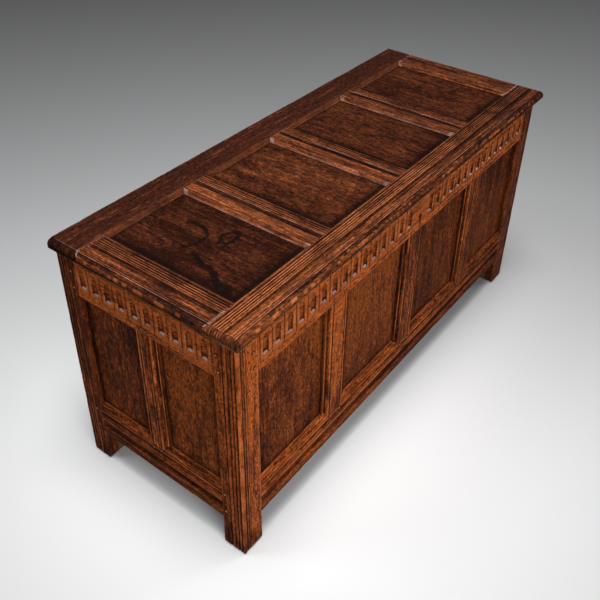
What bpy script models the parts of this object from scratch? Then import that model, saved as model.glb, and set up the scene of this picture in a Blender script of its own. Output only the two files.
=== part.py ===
"""Joined oak coffer: a panelled chest on stile feet, with a panelled lid on wire hinges and a box lock.

Metres, +Z up. The front faces -Y, and the origin lies on the floor under the middle of the whole object.
Every stile, rail, muntin, panel and board is a solid of its own, with its tenons, mortises and grooves.
"""

import math
from typing import NamedTuple

import bmesh
import bpy
from mathutils import Matrix, Vector

# Carcass
CARCASS_LENGTH = 1.320
CARCASS_DEPTH = 0.504
CARCASS_HEIGHT = 0.645
FOOT_HEIGHT = 0.097
FOOT_EASE = 0.009
STILE_WIDTH = 0.062
FRONT_STILE_DEPTH = 0.062
REAR_STILE_DEPTH = 0.056
TOP_RAIL_HEIGHT = 0.113
BOTTOM_RAIL_HEIGHT = 0.108
FRAME_THICKNESS = 0.027
LONG_SIDE_MUNTINS = 3
LONG_SIDE_MUNTIN_WIDTH = 0.092
SHORT_SIDE_MUNTINS = 1
SHORT_SIDE_MUNTIN_WIDTH = 0.075

# Panels and the joints of the carcass frames
PANEL_THICKNESS = 0.008
PANEL_RECESS = 0.012
GROOVE_DEPTH = 0.010
TENON_THICKNESS = 0.009
TENON_INSET = 0.0115
TENON_SHOULDER = 0.014
RAIL_TENON_LENGTH = 0.034
MUNTIN_TENON_LENGTH = 0.018

# Mouldings of the carcass
REED_COUNT = 3
REED_FIRST = 0.009
REED_PITCH = 0.0065
REED_WIDTH = 0.003
REED_DEPTH = 0.002
MOULDING_WIDTH = 0.022
MOULDING_DEPTH = 0.009
MUNTIN_CHAMFER = 0.004
SPLAY_HEIGHT = 0.019
SPLAY_DEPTH = 0.010
RAIL_HOLLOW_RISE = 0.029
RAIL_HOLLOW_WIDTH = 0.020
RAIL_HOLLOW_DEPTH = 0.004

# Carved frieze of the top rails
FLUTE_WIDTH = 0.019
FLUTE_HEIGHT = 0.056
FLUTE_DEPTH = 0.007
FLUTE_RISE = 0.026
FLUTE_LEDGE = 0.005
FLUTE_INSET = 0.024
FLUTE_LEFT_PITCH = 0.0385
FLUTE_RIGHT_PITCH = 0.0365
FLUTE_SIDE_PITCH = 0.0385
FLUTE_SIDE_MARGIN = 0.016
KEYHOLE_CLEARANCE = 0.030

# Bottom
BOARD_COUNT = 5
BOARD_THICKNESS = 0.012
BOARD_RISE = 0.023
BOARD_GROOVE_DEPTH = 0.008
BOARD_NOTCH_CLEARANCE = 0.001

# Lid
LID_THICKNESS = 0.022
LID_SIDE_OVERHANG = 0.015
LID_FRONT_OVERHANG = 0.017
LID_FRONT_RAIL_WIDTH = 0.085
LID_REAR_RAIL_WIDTH = 0.090
LID_STILE_WIDTH = 0.091
LID_MUNTINS = 3
LID_MUNTIN_WIDTH = 0.092
LID_PANEL_THICKNESS = 0.006
LID_PANEL_RECESS = 0.010
LID_GROOVE_DEPTH = 0.009
LID_TENON_LENGTH = 0.036
LID_TENON_SHOULDER = 0.015
LID_SPLAY_WIDTH = 0.010
LID_SPLAY_DROP = 0.0085
LID_HOLLOW_OFFSET = 0.040
LID_HOLLOW_WIDTH = 0.020
LID_MUNTIN_HOLLOW_WIDTH = 0.014
LID_HOLLOW_DEPTH = 0.004
THUMB_WIDTH = 0.011
THUMB_FOOT = 0.008
THUMB_FILLET = 0.002

# Wire hinges
HINGE_INSET = 0.205
WIRE_RADIUS = 0.0018
EYE_RADIUS = 0.005
CLENCH_LENGTH = 0.040
CLENCH_PROUD = 0.0005

# Lock
KEYHOLE_DROP = 0.072
KEYHOLE_RADIUS = 0.0058
KEYHOLE_SLOT_WIDTH = 0.0066
KEYHOLE_SLOT_DROP = 0.020
LOCK_PLATE_WIDTH = 0.110
LOCK_PLATE_HEIGHT = 0.082
LOCK_PLATE_THICKNESS = 0.0025
LOCK_CASE_WIDTH = 0.090
LOCK_CASE_HEIGHT = 0.062
LOCK_CASE_DEPTH = 0.022
LOCK_CASE_WALL = 0.002
LOCK_RISE = 0.012
BOLT_LENGTH = 0.048
BOLT_HEIGHT = 0.009
BOLT_THICKNESS = 0.005
BOLT_RISE = 0.015
BOLT_NOSE = 0.008
BOLT_STANDOFF = 0.014
BOLT_GUIDE_LENGTH = 0.036
STAPLE_OFFSET = 0.018
STAPLE_THICKNESS = 0.005
STAPLE_RIM = 0.003
STAPLE_EYE_WIDTH = 0.007
STAPLE_EYE_HEIGHT = 0.013
STAPLE_PLATE_LENGTH = 0.032
STAPLE_PLATE_WIDTH = 0.018
STAPLE_PLATE_THICKNESS = 0.0025
STAPLE_SWING_FRONT = 0.003
STAPLE_SWING_REAR = 0.0015

# Clearances and fineness
FIT = 0.0003
END_SPACE = 0.001
CUT = 0.005
ROOT = 0.0005
MERGE = 0.00001
ARC_STEPS = 4
WIRE_SIDES = 6
EYE_STEPS = 12
KEYHOLE_STEPS = 10

# Levels and lines that several pieces share, with the middle of the carcass at x = y = 0
HALF_LENGTH = CARCASS_LENGTH / 2
HALF_DEPTH = CARCASS_DEPTH / 2
SILL = FOOT_HEIGHT + BOTTOM_RAIL_HEIGHT
HEAD = CARCASS_HEIGHT - TOP_RAIL_HEIGHT
BOARD_LEVEL = FOOT_HEIGHT + BOARD_RISE
PANEL_HOLD = GROOVE_DEPTH - END_SPACE
LID_HOLD = LID_GROOVE_DEPTH - END_SPACE
LID_BOTTOM = CARCASS_HEIGHT + FIT
LID_TOP = LID_BOTTOM + LID_THICKNESS
LID_HALF_LENGTH = HALF_LENGTH + LID_SIDE_OVERHANG
LID_FRONT = -HALF_DEPTH - LID_FRONT_OVERHANG
LID_REAR = HALF_DEPTH
LID_PANEL_TOP = LID_THICKNESS - LID_PANEL_RECESS
LID_PANEL_BOTTOM = LID_PANEL_TOP - LID_PANEL_THICKNESS
HINGE_AXIS = Vector((0.0, HALF_DEPTH, CARCASS_HEIGHT + FIT / 2))
HINGE_REACH = EYE_RADIUS + WIRE_RADIUS
FRONT_INNER_FACE = -HALF_DEPTH + FRAME_THICKNESS
REAR_INNER_FACE = HALF_DEPTH - FRAME_THICKNESS
KEYHOLE_LEVEL = CARCASS_HEIGHT - KEYHOLE_DROP
BOLT_LEVEL = KEYHOLE_LEVEL + LOCK_RISE + BOLT_RISE

# Finishes: base colour, roughness, metallic
FINISHES = {
    "frame": ((0.150, 0.045, 0.014), 0.42, 0.0),
    "panel": ((0.085, 0.026, 0.010), 0.45, 0.0),
    "inner": ((0.200, 0.110, 0.055), 0.80, 0.0),
    "iron": ((0.030, 0.029, 0.030), 0.60, 1.0),
}

# Turns that lay a prism, drawn along its own Z, along an axis of its parent
PRISM_TURNS = {
    "X": Matrix(((0, 0, 1), (1, 0, 0), (0, 1, 0))),
    "Y": Matrix(((1, 0, 0), (0, 0, -1), (0, 1, 0))),
    "Z": Matrix.Identity(3),
}


class Side(NamedTuple):
    """One framed side. Its own X runs along it, its own Y inwards from its outer face."""

    name: str
    length: float
    left_stile: float
    right_stile: float
    muntins: int
    muntin_width: float
    place: tuple
    turn: float
    moulded: bool

    @property
    def left(self):
        return -self.length / 2 + self.left_stile

    @property
    def right(self):
        return self.length / 2 - self.right_stile


def new_collection(name):
    collection = bpy.data.collections.new(name)
    bpy.context.scene.collection.children.link(collection)
    return collection


for leftover in list(bpy.data.objects):
    bpy.data.objects.remove(leftover)
PARTS = new_collection("coffer")
CUTTERS = new_collection("coffer_cutters")


# Building blocks

def empty(name, location=(0.0, 0.0, 0.0), turn=0.0, parent=None):
    obj = bpy.data.objects.new(name, None)
    obj.location = location
    obj.rotation_euler.z = turn
    obj.parent = parent
    PARTS.objects.link(obj)
    return obj


def finish(obj, kind):
    colour, roughness, metallic = FINISHES[kind]
    material = bpy.data.materials.new(f"{obj.name}_{kind}")
    material.use_nodes = True
    shader = material.node_tree.nodes["Principled BSDF"]
    shader.inputs["Base Color"].default_value = (*colour, 1.0)
    shader.inputs["Roughness"].default_value = roughness
    shader.inputs["Metallic"].default_value = metallic
    obj.data.materials.append(material)


def add(name, mesh, parent, kind):
    """Puts a mesh in the scene: a piece with a finish, or a cutter where it has none."""
    obj = bpy.data.objects.new(name, mesh)
    obj.parent = parent
    if kind:
        PARTS.objects.link(obj)
        finish(obj, kind)
    else:
        CUTTERS.objects.link(obj)
        obj.hide_render = True
        obj.display_type = "WIRE"
    return obj


def mesh_of(name, bm):
    mesh = bpy.data.meshes.new(name)
    bmesh.ops.recalc_face_normals(bm, faces=bm.faces)
    bm.to_mesh(mesh)
    bm.free()
    return mesh


def block(name, low, high, parent, kind=None):
    """A rectangular block between two corners, with its origin at its middle."""
    size = Vector(high) - Vector(low)
    bm = bmesh.new()
    bmesh.ops.create_cube(bm, size=1.0, matrix=Matrix.Diagonal((*size, 1.0)))
    obj = add(name, mesh_of(name, bm), parent, kind)
    obj.location = (Vector(low) + Vector(high)) / 2
    return obj


def blocks(name, corners, parent):
    """One cutter of several blocks that keep clear of each other."""
    bm = bmesh.new()
    for low, high in corners:
        middle = (Vector(low) + Vector(high)) / 2
        size = Vector(high) - Vector(low)
        place = Matrix.Translation(middle) @ Matrix.Diagonal((*size, 1.0))
        bmesh.ops.create_cube(bm, size=1.0, matrix=place)
    return add(name, mesh_of(name, bm), parent, None)


def outline_mesh(name, outline, length):
    """A closed flat outline drawn out along its own Z, from 0 to the length."""
    curve = bpy.data.curves.new(name, "CURVE")
    curve.dimensions = "2D"
    curve.fill_mode = "NONE"
    curve.extrude = length / 2
    spline = curve.splines.new("POLY")
    spline.points.add(len(outline) - 1)
    for point, (u, v) in zip(spline.points, outline):
        point.co = (u, v, 0.0, 1.0)
    spline.use_cyclic_u = True
    drawn = bpy.data.objects.new(name, curve)
    bpy.context.scene.collection.objects.link(drawn)
    graph = bpy.context.evaluated_depsgraph_get()
    flat = bpy.data.meshes.new_from_object(drawn.evaluated_get(graph))
    bm = bmesh.new()
    bm.from_mesh(flat)
    bpy.data.objects.remove(drawn)
    bpy.data.curves.remove(curve)
    bpy.data.meshes.remove(flat)
    bmesh.ops.remove_doubles(bm, verts=bm.verts, dist=MERGE)
    bmesh.ops.holes_fill(bm, edges=bm.edges)
    bmesh.ops.translate(bm, verts=bm.verts, vec=(0.0, 0.0, length / 2))
    return mesh_of(name, bm)


def prism(name, outline, axis, start, length, parent, kind=None):
    """An outline drawn along an axis of its parent, from start on.

    The outline is given as (y, z) for a prism along X, (x, z) along Y and (x, y) along Z.
    """
    obj = add(name, outline_mesh(name, outline, length), parent, kind)
    obj.rotation_euler = PRISM_TURNS[axis].to_euler()
    obj.location["XYZ".index(axis)] = start + (length if axis == "Y" else 0.0)
    return obj


def rod(name, start, end, radius, parent, kind=None):
    """A straight wire or a straight hole between two points."""
    run = Vector(end) - Vector(start)
    bm = bmesh.new()
    bmesh.ops.create_cone(
        bm, cap_ends=True, segments=WIRE_SIDES, radius1=radius, radius2=radius, depth=run.length
    )
    obj = add(name, mesh_of(name, bm), parent, kind)
    obj.rotation_euler = run.to_track_quat("Z", "X").to_euler()
    obj.location = (Vector(start) + Vector(end)) / 2
    return obj


def boolean(obj, other, operation="DIFFERENCE"):
    modifier = obj.modifiers.new(other.name, "BOOLEAN")
    modifier.operation = operation
    modifier.solver = "EXACT"
    modifier.object = other


def grown(low, high, by):
    return Vector(low) - Vector((by, by, by)), Vector(high) + Vector((by, by, by))


def arc(centre, radii, start, end, steps=ARC_STEPS):
    """Points of an elliptical arc, angles in degrees, both ends included."""
    angles = [math.radians(start + (end - start) * i / steps) for i in range(steps + 1)]
    return [(centre[0] + radii[0] * math.cos(a), centre[1] + radii[1] * math.sin(a)) for a in angles]


def moulding(width, depth):
    """The run moulding of an edge, from the edge inwards: fillet, quirk, hollow, ridge and scratch line."""
    return [
        (0.00 * width, 0.78 * depth),
        (0.21 * width, 0.78 * depth),
        (0.27 * width, 1.00 * depth),
        (0.33 * width, 0.86 * depth),
        (0.55 * width, 0.56 * depth),
        (0.74 * width, 0.11 * depth),
        (0.82 * width, 0.00 * depth),
        (0.90 * width, 0.00 * depth),
        (0.95 * width, 0.25 * depth),
        (1.00 * width, 0.00 * depth),
    ]


# Carcass

ORIGIN = empty("coffer_origin", (0.0, (LID_FRONT_OVERHANG - HINGE_REACH) / 2, 0.0))
SIDES = (
    Side("front", CARCASS_LENGTH, STILE_WIDTH, STILE_WIDTH, LONG_SIDE_MUNTINS, LONG_SIDE_MUNTIN_WIDTH,
         (0.0, -HALF_DEPTH, 0.0), 0.0, True),
    Side("rear", CARCASS_LENGTH, STILE_WIDTH, STILE_WIDTH, LONG_SIDE_MUNTINS, LONG_SIDE_MUNTIN_WIDTH,
         (0.0, HALF_DEPTH, 0.0), math.pi, False),
    Side("left", CARCASS_DEPTH, REAR_STILE_DEPTH, FRONT_STILE_DEPTH, SHORT_SIDE_MUNTINS,
         SHORT_SIDE_MUNTIN_WIDTH, (-HALF_LENGTH, 0.0, 0.0), -math.pi / 2, True),
    Side("right", CARCASS_DEPTH, FRONT_STILE_DEPTH, REAR_STILE_DEPTH, SHORT_SIDE_MUNTINS,
         SHORT_SIDE_MUNTIN_WIDTH, (HALF_LENGTH, 0.0, 0.0), math.pi / 2, True),
)


def flute_places(side):
    """Where the flutes of a top rail stand: on the front in two runs that leave room for the keyhole."""
    if side.name != "front":
        span = side.right - side.left - 2 * FLUTE_SIDE_MARGIN
        steps = math.floor(span / FLUTE_SIDE_PITCH)
        first = (side.left + side.right - steps * FLUTE_SIDE_PITCH) / 2
        return [first + i * FLUTE_SIDE_PITCH for i in range(steps + 1)]
    left_steps = math.floor((-side.left - FLUTE_INSET - KEYHOLE_CLEARANCE) / FLUTE_LEFT_PITCH)
    right_steps = math.floor((side.right - FLUTE_INSET - KEYHOLE_CLEARANCE) / FLUTE_RIGHT_PITCH)
    left_run = [side.left + FLUTE_INSET + i * FLUTE_LEFT_PITCH for i in range(left_steps + 1)]
    right_run = [side.right - FLUTE_INSET - i * FLUTE_RIGHT_PITCH for i in range(right_steps + 1)]
    return left_run + right_run[::-1]


def keyhole_place():
    """The keyhole stands midway in the widest gap of the front's flutes."""
    places = flute_places(SIDES[0])
    gaps = [(after - before, (after + before) / 2) for before, after in zip(places, places[1:])]
    return max(gaps)[1]


KEYHOLE_X = keyhole_place()


def flute_cutter(side, frame):
    """The hollows of one frieze: pointed arches that deepen downwards to a ledge with a raised middle."""
    slope = math.atan2(FLUTE_DEPTH, FLUTE_HEIGHT)
    half = FLUTE_WIDTH / 2
    ledge = arc((0.0, 0.0), (half, FLUTE_LEDGE), 180, 0)
    crown = [(half, FLUTE_HEIGHT * 0.55), (half * 0.6, FLUTE_HEIGHT * 0.85), (0.0, FLUTE_HEIGHT)]
    crown += [(-u, v) for u, v in crown[-2::-1]]
    flute = outline_mesh(f"{side.name}_flute", ledge + crown, 2 * FLUTE_DEPTH)
    bm = bmesh.new()
    for place in flute_places(side):
        first = len(bm.verts)
        bm.from_mesh(flute)
        bm.verts.ensure_lookup_table()
        stand = Matrix.Translation((place, 0.0, HEAD + FLUTE_RISE)) @ PRISM_TURNS["Y"].to_4x4()
        sink = Matrix.Rotation(slope, 4, "X") @ Matrix.Translation((0.0, 0.0, -FLUTE_DEPTH))
        bmesh.ops.transform(bm, matrix=stand @ sink, verts=bm.verts[first:])
    bpy.data.meshes.remove(flute)
    return add(f"{side.name}_flutes", mesh_of(f"{side.name}_flutes", bm), frame, None)


def top_rail_outline():
    low, high = PANEL_RECESS - FIT, PANEL_RECESS + PANEL_THICKNESS + FIT
    groove = [(low, HEAD), (low, HEAD + GROOVE_DEPTH), (high, HEAD + GROOVE_DEPTH), (high, HEAD)]
    back = [(FRAME_THICKNESS, HEAD), (FRAME_THICKNESS, CARCASS_HEIGHT)]
    return [(0.0, HEAD), *groove, *back, (0.0, CARCASS_HEIGHT)]


def bottom_rail_outline(moulded):
    low, high = PANEL_RECESS - FIT, PANEL_RECESS + PANEL_THICKNESS + FIT
    groove = [(high, SILL), (high, SILL - GROOVE_DEPTH), (low, SILL - GROOVE_DEPTH), (low, SILL)]
    back = FRAME_THICKNESS
    inner = FRAME_THICKNESS - BOARD_GROOVE_DEPTH
    board_low, board_high = BOARD_LEVEL - FIT, BOARD_LEVEL + BOARD_THICKNESS + FIT
    seat = [(back, board_low), (inner, board_low), (inner, board_high), (back, board_high)]
    face = [(SPLAY_DEPTH, SILL), (0.0, SILL - SPLAY_HEIGHT)]
    if moulded:
        centre = (0.0, FOOT_HEIGHT + RAIL_HOLLOW_RISE + RAIL_HOLLOW_WIDTH / 2)
        face += arc(centre, (RAIL_HOLLOW_DEPTH, RAIL_HOLLOW_WIDTH / 2), 90, -90)
    return [(0.0, FOOT_HEIGHT), (back, FOOT_HEIGHT), *seat, (back, SILL), *groove, *face]


def muntin_outline(width, moulded):
    half = width / 2
    low, high = PANEL_RECESS - FIT, PANEL_RECESS + PANEL_THICKNESS + FIT
    edge = [(0.0, MUNTIN_CHAMFER), (MUNTIN_CHAMFER, 0.0)]
    if moulded:
        edge = moulding(MOULDING_WIDTH, MOULDING_DEPTH)
    groove = [(0.0, high), (GROOVE_DEPTH, high), (GROOVE_DEPTH, low), (0.0, low)]
    left = [(0.0, FRAME_THICKNESS), *groove, *edge]
    return [(-half + u, v) for u, v in left] + [(half - u, v) for u, v in left[::-1]]


def rail_tenons(side, level, height):
    """The two tenons of a rail, as corners: the left one and the right one."""
    depth = (TENON_INSET, TENON_INSET + TENON_THICKNESS)
    low, high = level + TENON_SHOULDER, level + height - TENON_SHOULDER
    ends = ((side.left - RAIL_TENON_LENGTH, side.left + FIT + ROOT),
            (side.right - FIT - ROOT, side.right + RAIL_TENON_LENGTH))
    return [((x0, depth[0], low), (x1, depth[1], high)) for x0, x1 in ends]


def build_rail(side, frame, name, outline, level, height):
    length = side.right - side.left - 2 * FIT
    rail = prism(f"{side.name}_{name}", outline, "X", side.left + FIT, length, frame, "frame")
    for end, corners in zip(("left", "right"), rail_tenons(side, level, height)):
        boolean(rail, block(f"{rail.name}_{end}_tenon", *corners, frame), "UNION")
    return rail


def muntin_tenons(middle, width):
    """The upper and the lower tenon of a muntin, as corners."""
    half = width / 2 - TENON_SHOULDER
    depth = (TENON_INSET, TENON_INSET + TENON_THICKNESS)
    spans = ((HEAD - FIT - ROOT, HEAD + MUNTIN_TENON_LENGTH),
             (SILL - MUNTIN_TENON_LENGTH, SILL + FIT + ROOT))
    return [((middle - half, depth[0], z0), (middle + half, depth[1], z1)) for z0, z1 in spans]


def sill_cope(side, frame):
    """What the splayed bottom rail takes off the foot of each muntin."""
    foot = SILL - SPLAY_HEIGHT
    outline = [
        (-CUT, foot + FIT),
        (-FIT, foot + FIT),
        (SPLAY_DEPTH - FIT, SILL + FIT),
        (FRAME_THICKNESS + CUT, SILL + FIT),
        (FRAME_THICKNESS + CUT, foot - CUT),
        (-CUT, foot - CUT),
    ]
    return prism(f"{side.name}_sill_cope", outline, "X", side.left, side.right - side.left, frame)


def build_muntins(side, frame, top_rail, bottom_rail):
    """The muntins of a side, and the lines where its panels begin and end."""
    cope = sill_cope(side, frame)
    clear = (side.right - side.left - side.muntins * side.muntin_width) / (side.muntins + 1)
    foot = SILL - SPLAY_HEIGHT
    edges = [side.left]
    for number in range(1, side.muntins + 1):
        left_edge = side.left + number * clear + (number - 1) * side.muntin_width
        middle = left_edge + side.muntin_width / 2
        name = f"{side.name}_muntin_{number}" if side.muntins > 1 else f"{side.name}_muntin"
        outline = muntin_outline(side.muntin_width, side.moulded)
        muntin = prism(name, outline, "Z", foot, HEAD - FIT - foot, frame, "frame")
        muntin.location.x = middle
        boolean(muntin, cope)
        tenons = muntin_tenons(middle, side.muntin_width)
        for rail, end, corners in zip((top_rail, bottom_rail), ("top", "bottom"), tenons):
            boolean(muntin, block(f"{name}_{end}_tenon", *corners, frame), "UNION")
            boolean(rail, block(f"{name}_{end}_mortise", *grown(*corners, FIT), frame))
        edges += [left_edge, left_edge + side.muntin_width]
    return edges + [side.right]


def build_panels(side, frame, edges):
    for number, (left, right) in enumerate(zip(edges[::2], edges[1::2]), start=1):
        low = (left - PANEL_HOLD, PANEL_RECESS, SILL - PANEL_HOLD)
        high = (right + PANEL_HOLD, PANEL_RECESS + PANEL_THICKNESS, HEAD + PANEL_HOLD)
        block(f"{side.name}_panel_{number}", low, high, frame, "panel")


def stile_cutters(side, frame):
    """What each end of a side takes out of its stile: two mortises, and the panel groove between them."""
    low, high = PANEL_RECESS - FIT, PANEL_RECESS + PANEL_THICKNESS + FIT
    foot, top = SILL - GROOVE_DEPTH, HEAD + GROOVE_DEPTH
    tops = rail_tenons(side, HEAD, TOP_RAIL_HEIGHT)
    bottoms = rail_tenons(side, FOOT_HEIGHT, BOTTOM_RAIL_HEIGHT)
    grooves = (
        ((side.left - GROOVE_DEPTH, low, foot), (side.left + CUT, high, top)),
        ((side.right - CUT, low, foot), (side.right + GROOVE_DEPTH, high, top)),
    )
    reach = (Vector((CUT, 0.0, 0.0)), Vector((-CUT, 0.0, 0.0)))
    found = {}
    for index, end in enumerate(("left", "right")):
        corners = [grooves[index]]
        for tenon in (tops[index], bottoms[index]):
            mortise = grown(*tenon, FIT)
            mortise[1 - index][:] = mortise[1 - index] + reach[index]
            corners.append(mortise)
        found[end] = blocks(f"{side.name}_{end}_mortises", corners, frame)
    return found


def build_side(side):
    frame = empty(f"{side.name}_frame", side.place, side.turn, ORIGIN)
    top_rail = build_rail(side, frame, "top_rail", top_rail_outline(), HEAD, TOP_RAIL_HEIGHT)
    bottom_rail = build_rail(
        side, frame, "bottom_rail", bottom_rail_outline(side.moulded), FOOT_HEIGHT, BOTTOM_RAIL_HEIGHT
    )
    build_panels(side, frame, build_muntins(side, frame, top_rail, bottom_rail))
    if side.moulded:
        boolean(top_rail, flute_cutter(side, frame))
    return stile_cutters(side, frame)


def stile_outline(across, inwards, depth, reeded_front):
    """A stile seen from above, from its outer corner. Across and inwards are signs towards the carcass."""
    reeds = []
    for number in range(REED_COUNT):
        middle = REED_FIRST + number * REED_PITCH
        reeds += [(middle - REED_WIDTH / 2, 0.0), (middle, REED_DEPTH), (middle + REED_WIDTH / 2, 0.0)]
    front = reeds[::-1] if reeded_front else []
    end = [(v, u) for u, v in reeds]
    points = [(STILE_WIDTH, 0.0), *front, (0.0, 0.0), *end, (0.0, depth), (STILE_WIDTH, depth)]
    return [(across * u, inwards * v) for u, v in points]


def foot_form(name, low, high):
    """A block with its lower edges eased, to which a stile is trimmed."""
    form = block(name, low, high, ORIGIN)
    bm = bmesh.new()
    bm.from_mesh(form.data)
    bottom = min(vert.co.z for vert in bm.verts)
    edges = [edge for edge in bm.edges if all(vert.co.z < bottom + MERGE for vert in edge.verts)]
    bmesh.ops.bevel(bm, geom=edges, offset=FOOT_EASE, segments=2, profile=0.5, affect="EDGES")
    bm.to_mesh(form.data)
    bm.free()
    return form


def build_stile(name, across, inwards, depth, mortises):
    corner = Vector((-across * HALF_LENGTH, -inwards * HALF_DEPTH, 0.0))
    outline = stile_outline(across, inwards, depth, inwards > 0)
    stile = prism(name, outline, "Z", -CUT, CARCASS_HEIGHT + CUT, ORIGIN, "frame")
    stile.location.xy = corner.xy
    reach = Vector((across * STILE_WIDTH, inwards * depth, 0.0))
    low = [min(0.0, side) + place - FIT for side, place in zip(reach, corner)]
    high = [max(0.0, side) + place + FIT for side, place in zip(reach, corner)]
    low[2], high[2] = 0.0, CARCASS_HEIGHT + CUT
    boolean(stile, foot_form(f"{name}_foot", low, high), "INTERSECT")
    for cutter in mortises:
        boolean(stile, cutter)


def build_bottom():
    """The bottom boards lie in grooves of the four bottom rails and are notched round the stiles."""
    hold = BOARD_GROOVE_DEPTH - END_SPACE
    half_x = HALF_LENGTH - FRAME_THICKNESS + hold
    half_y = HALF_DEPTH - FRAME_THICKNESS + hold
    level = (BOARD_LEVEL, BOARD_LEVEL + BOARD_THICKNESS)
    notches = []
    for across in (1, -1):
        inner = HALF_LENGTH - STILE_WIDTH - BOARD_NOTCH_CLEARANCE
        x0, x1 = sorted((-across * inner, -across * (HALF_LENGTH + CUT)))
        rear_line = HALF_DEPTH - REAR_STILE_DEPTH - BOARD_NOTCH_CLEARANCE
        front_line = FRONT_STILE_DEPTH + BOARD_NOTCH_CLEARANCE - HALF_DEPTH
        rear = ((x0, rear_line, level[0] - CUT), (x1, HALF_DEPTH + CUT, level[1] + CUT))
        front = ((x0, -HALF_DEPTH - CUT, level[0] - CUT), (x1, front_line, level[1] + CUT))
        notches.append((x0, x1, blocks(f"stile_notches_{across}", (rear, front), ORIGIN)))
    width = 2 * half_x / BOARD_COUNT
    for number in range(BOARD_COUNT):
        x0 = -half_x + number * width + FIT
        x1 = x0 + width - 2 * FIT
        low, high = (x0, -half_y, level[0]), (x1, half_y, level[1])
        board = block(f"bottom_board_{number + 1}", low, high, ORIGIN, "inner")
        for notch_low, notch_high, notch in notches:
            if x0 < notch_high and x1 > notch_low:
                boolean(board, notch)


# Lid

def adopt(child, parent):
    """Hangs a piece on a parent without moving it."""
    child.parent = parent
    child.matrix_parent_inverse = Matrix.Translation(parent.location).inverted()
    return child


def thumb_curve():
    """The lid's rounded outer edge, from its underside to its top, with a fillet above the round."""
    rise = LID_THICKNESS - THUMB_FILLET - THUMB_FOOT
    round_edge = arc((THUMB_WIDTH, THUMB_FOOT), (THUMB_WIDTH, rise), 180, 90)
    return [*round_edge, (THUMB_WIDTH, LID_THICKNESS)]


def lid_groove(edge, sign):
    """The panel groove in a lid member's edge, from its upper lip down. The sign points into the wood."""
    high, low = LID_PANEL_TOP + FIT, LID_PANEL_BOTTOM - FIT
    bottom = edge + sign * LID_GROOVE_DEPTH
    return [(edge, high), (bottom, high), (bottom, low), (edge, low)]


def border_outline(width):
    """The front rail or an end stile across its width: thumb edge, hollow, splay and groove."""
    hollow_radii = (LID_HOLLOW_WIDTH / 2, LID_HOLLOW_DEPTH)
    hollow = arc((LID_HOLLOW_OFFSET, LID_THICKNESS), hollow_radii, 180, 360)
    splay = [(width - LID_SPLAY_WIDTH, LID_THICKNESS), (width, LID_THICKNESS - LID_SPLAY_DROP)]
    return [(0.0, 0.0), *thumb_curve(), *hollow, *splay, *lid_groove(width, -1), (width, 0.0)]


def rear_rail_outline(width):
    splay = [(width - LID_SPLAY_WIDTH, LID_THICKNESS), (width, LID_THICKNESS - LID_SPLAY_DROP)]
    return [(0.0, 0.0), (0.0, LID_THICKNESS), *splay, *lid_groove(width, -1), (width, 0.0)]


def lid_muntin_outline():
    """A muntin of the lid across its width: a splay on each side of a hollow, and two grooves."""
    half = LID_MUNTIN_WIDTH / 2
    splay = [(0.0, LID_THICKNESS - LID_SPLAY_DROP), (LID_SPLAY_WIDTH, LID_THICKNESS)]
    left = [(0.0, 0.0), *lid_groove(0.0, 1)[::-1], *splay]
    hollow = arc((0.0, LID_THICKNESS), (LID_MUNTIN_HOLLOW_WIDTH / 2, LID_HOLLOW_DEPTH), 180, 360)
    return [(u - half, v) for u, v in left] + hollow + [(half - u, v) for u, v in left[::-1]]


def rail_cope(name, edge, inwards, width):
    """What a splayed lid rail takes off the ends of the stiles and muntins that meet it."""
    shoulder = width - LID_SPLAY_WIDTH
    outline = [
        (shoulder - CUT, LID_THICKNESS + CUT),
        (shoulder + FIT, LID_THICKNESS + CUT),
        (shoulder + FIT, LID_THICKNESS + FIT),
        (width + FIT, LID_THICKNESS - LID_SPLAY_DROP + FIT),
        (width + FIT, -CUT),
        (shoulder - CUT, -CUT),
    ]
    placed = [(edge + inwards * u, LID_BOTTOM + v) for u, v in outline]
    return prism(name, placed, "X", -LID_HALF_LENGTH - CUT, 2 * (LID_HALF_LENGTH + CUT), ORIGIN)


def end_thumb_cutter(name, sign):
    """The round worked across an end of the lid, over the end grain of both rails."""
    outside = [(-CUT, LID_THICKNESS + CUT), (-CUT, THUMB_FOOT)]
    outline = [*outside, *thumb_curve(), (THUMB_WIDTH, LID_THICKNESS + CUT)]
    placed = [(sign * (LID_HALF_LENGTH - u), LID_BOTTOM + v) for u, v in outline]
    return prism(name, placed, "Y", LID_FRONT - CUT, LID_REAR - LID_FRONT + 2 * CUT, ORIGIN)


def lid_tenons(low_x, high_x):
    """The front and the rear tenon of a lid stile or muntin, as corners."""
    front_line = LID_FRONT + LID_FRONT_RAIL_WIDTH
    rear_line = LID_REAR - LID_REAR_RAIL_WIDTH
    low, high = LID_BOTTOM + LID_PANEL_BOTTOM, LID_BOTTOM + LID_PANEL_TOP
    spans = ((front_line - LID_TENON_LENGTH, front_line + FIT + ROOT),
             (rear_line - FIT - ROOT, rear_line + LID_TENON_LENGTH))
    return [((low_x, y0, low), (high_x, y1, high)) for y0, y1 in spans]


def build_lid_member(name, outline, tenon_span, rails, copes, axis_empty):
    """A lid stile or muntin between the two rails."""
    start = LID_FRONT + LID_FRONT_RAIL_WIDTH - LID_SPLAY_WIDTH
    end = LID_REAR - LID_REAR_RAIL_WIDTH + LID_SPLAY_WIDTH
    placed = [(x, LID_BOTTOM + v) for x, v in outline]
    member = adopt(prism(name, placed, "Y", start, end - start, ORIGIN, "frame"), axis_empty)
    for cope in copes:
        boolean(member, cope)
    for rail, end_name, corners in zip(rails, ("front", "rear"), lid_tenons(*tenon_span)):
        boolean(member, block(f"{name}_{end_name}_tenon", *corners, ORIGIN), "UNION")
        boolean(rail, block(f"{name}_{end_name}_mortise", *grown(*corners, FIT), ORIGIN))
    return member


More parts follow.
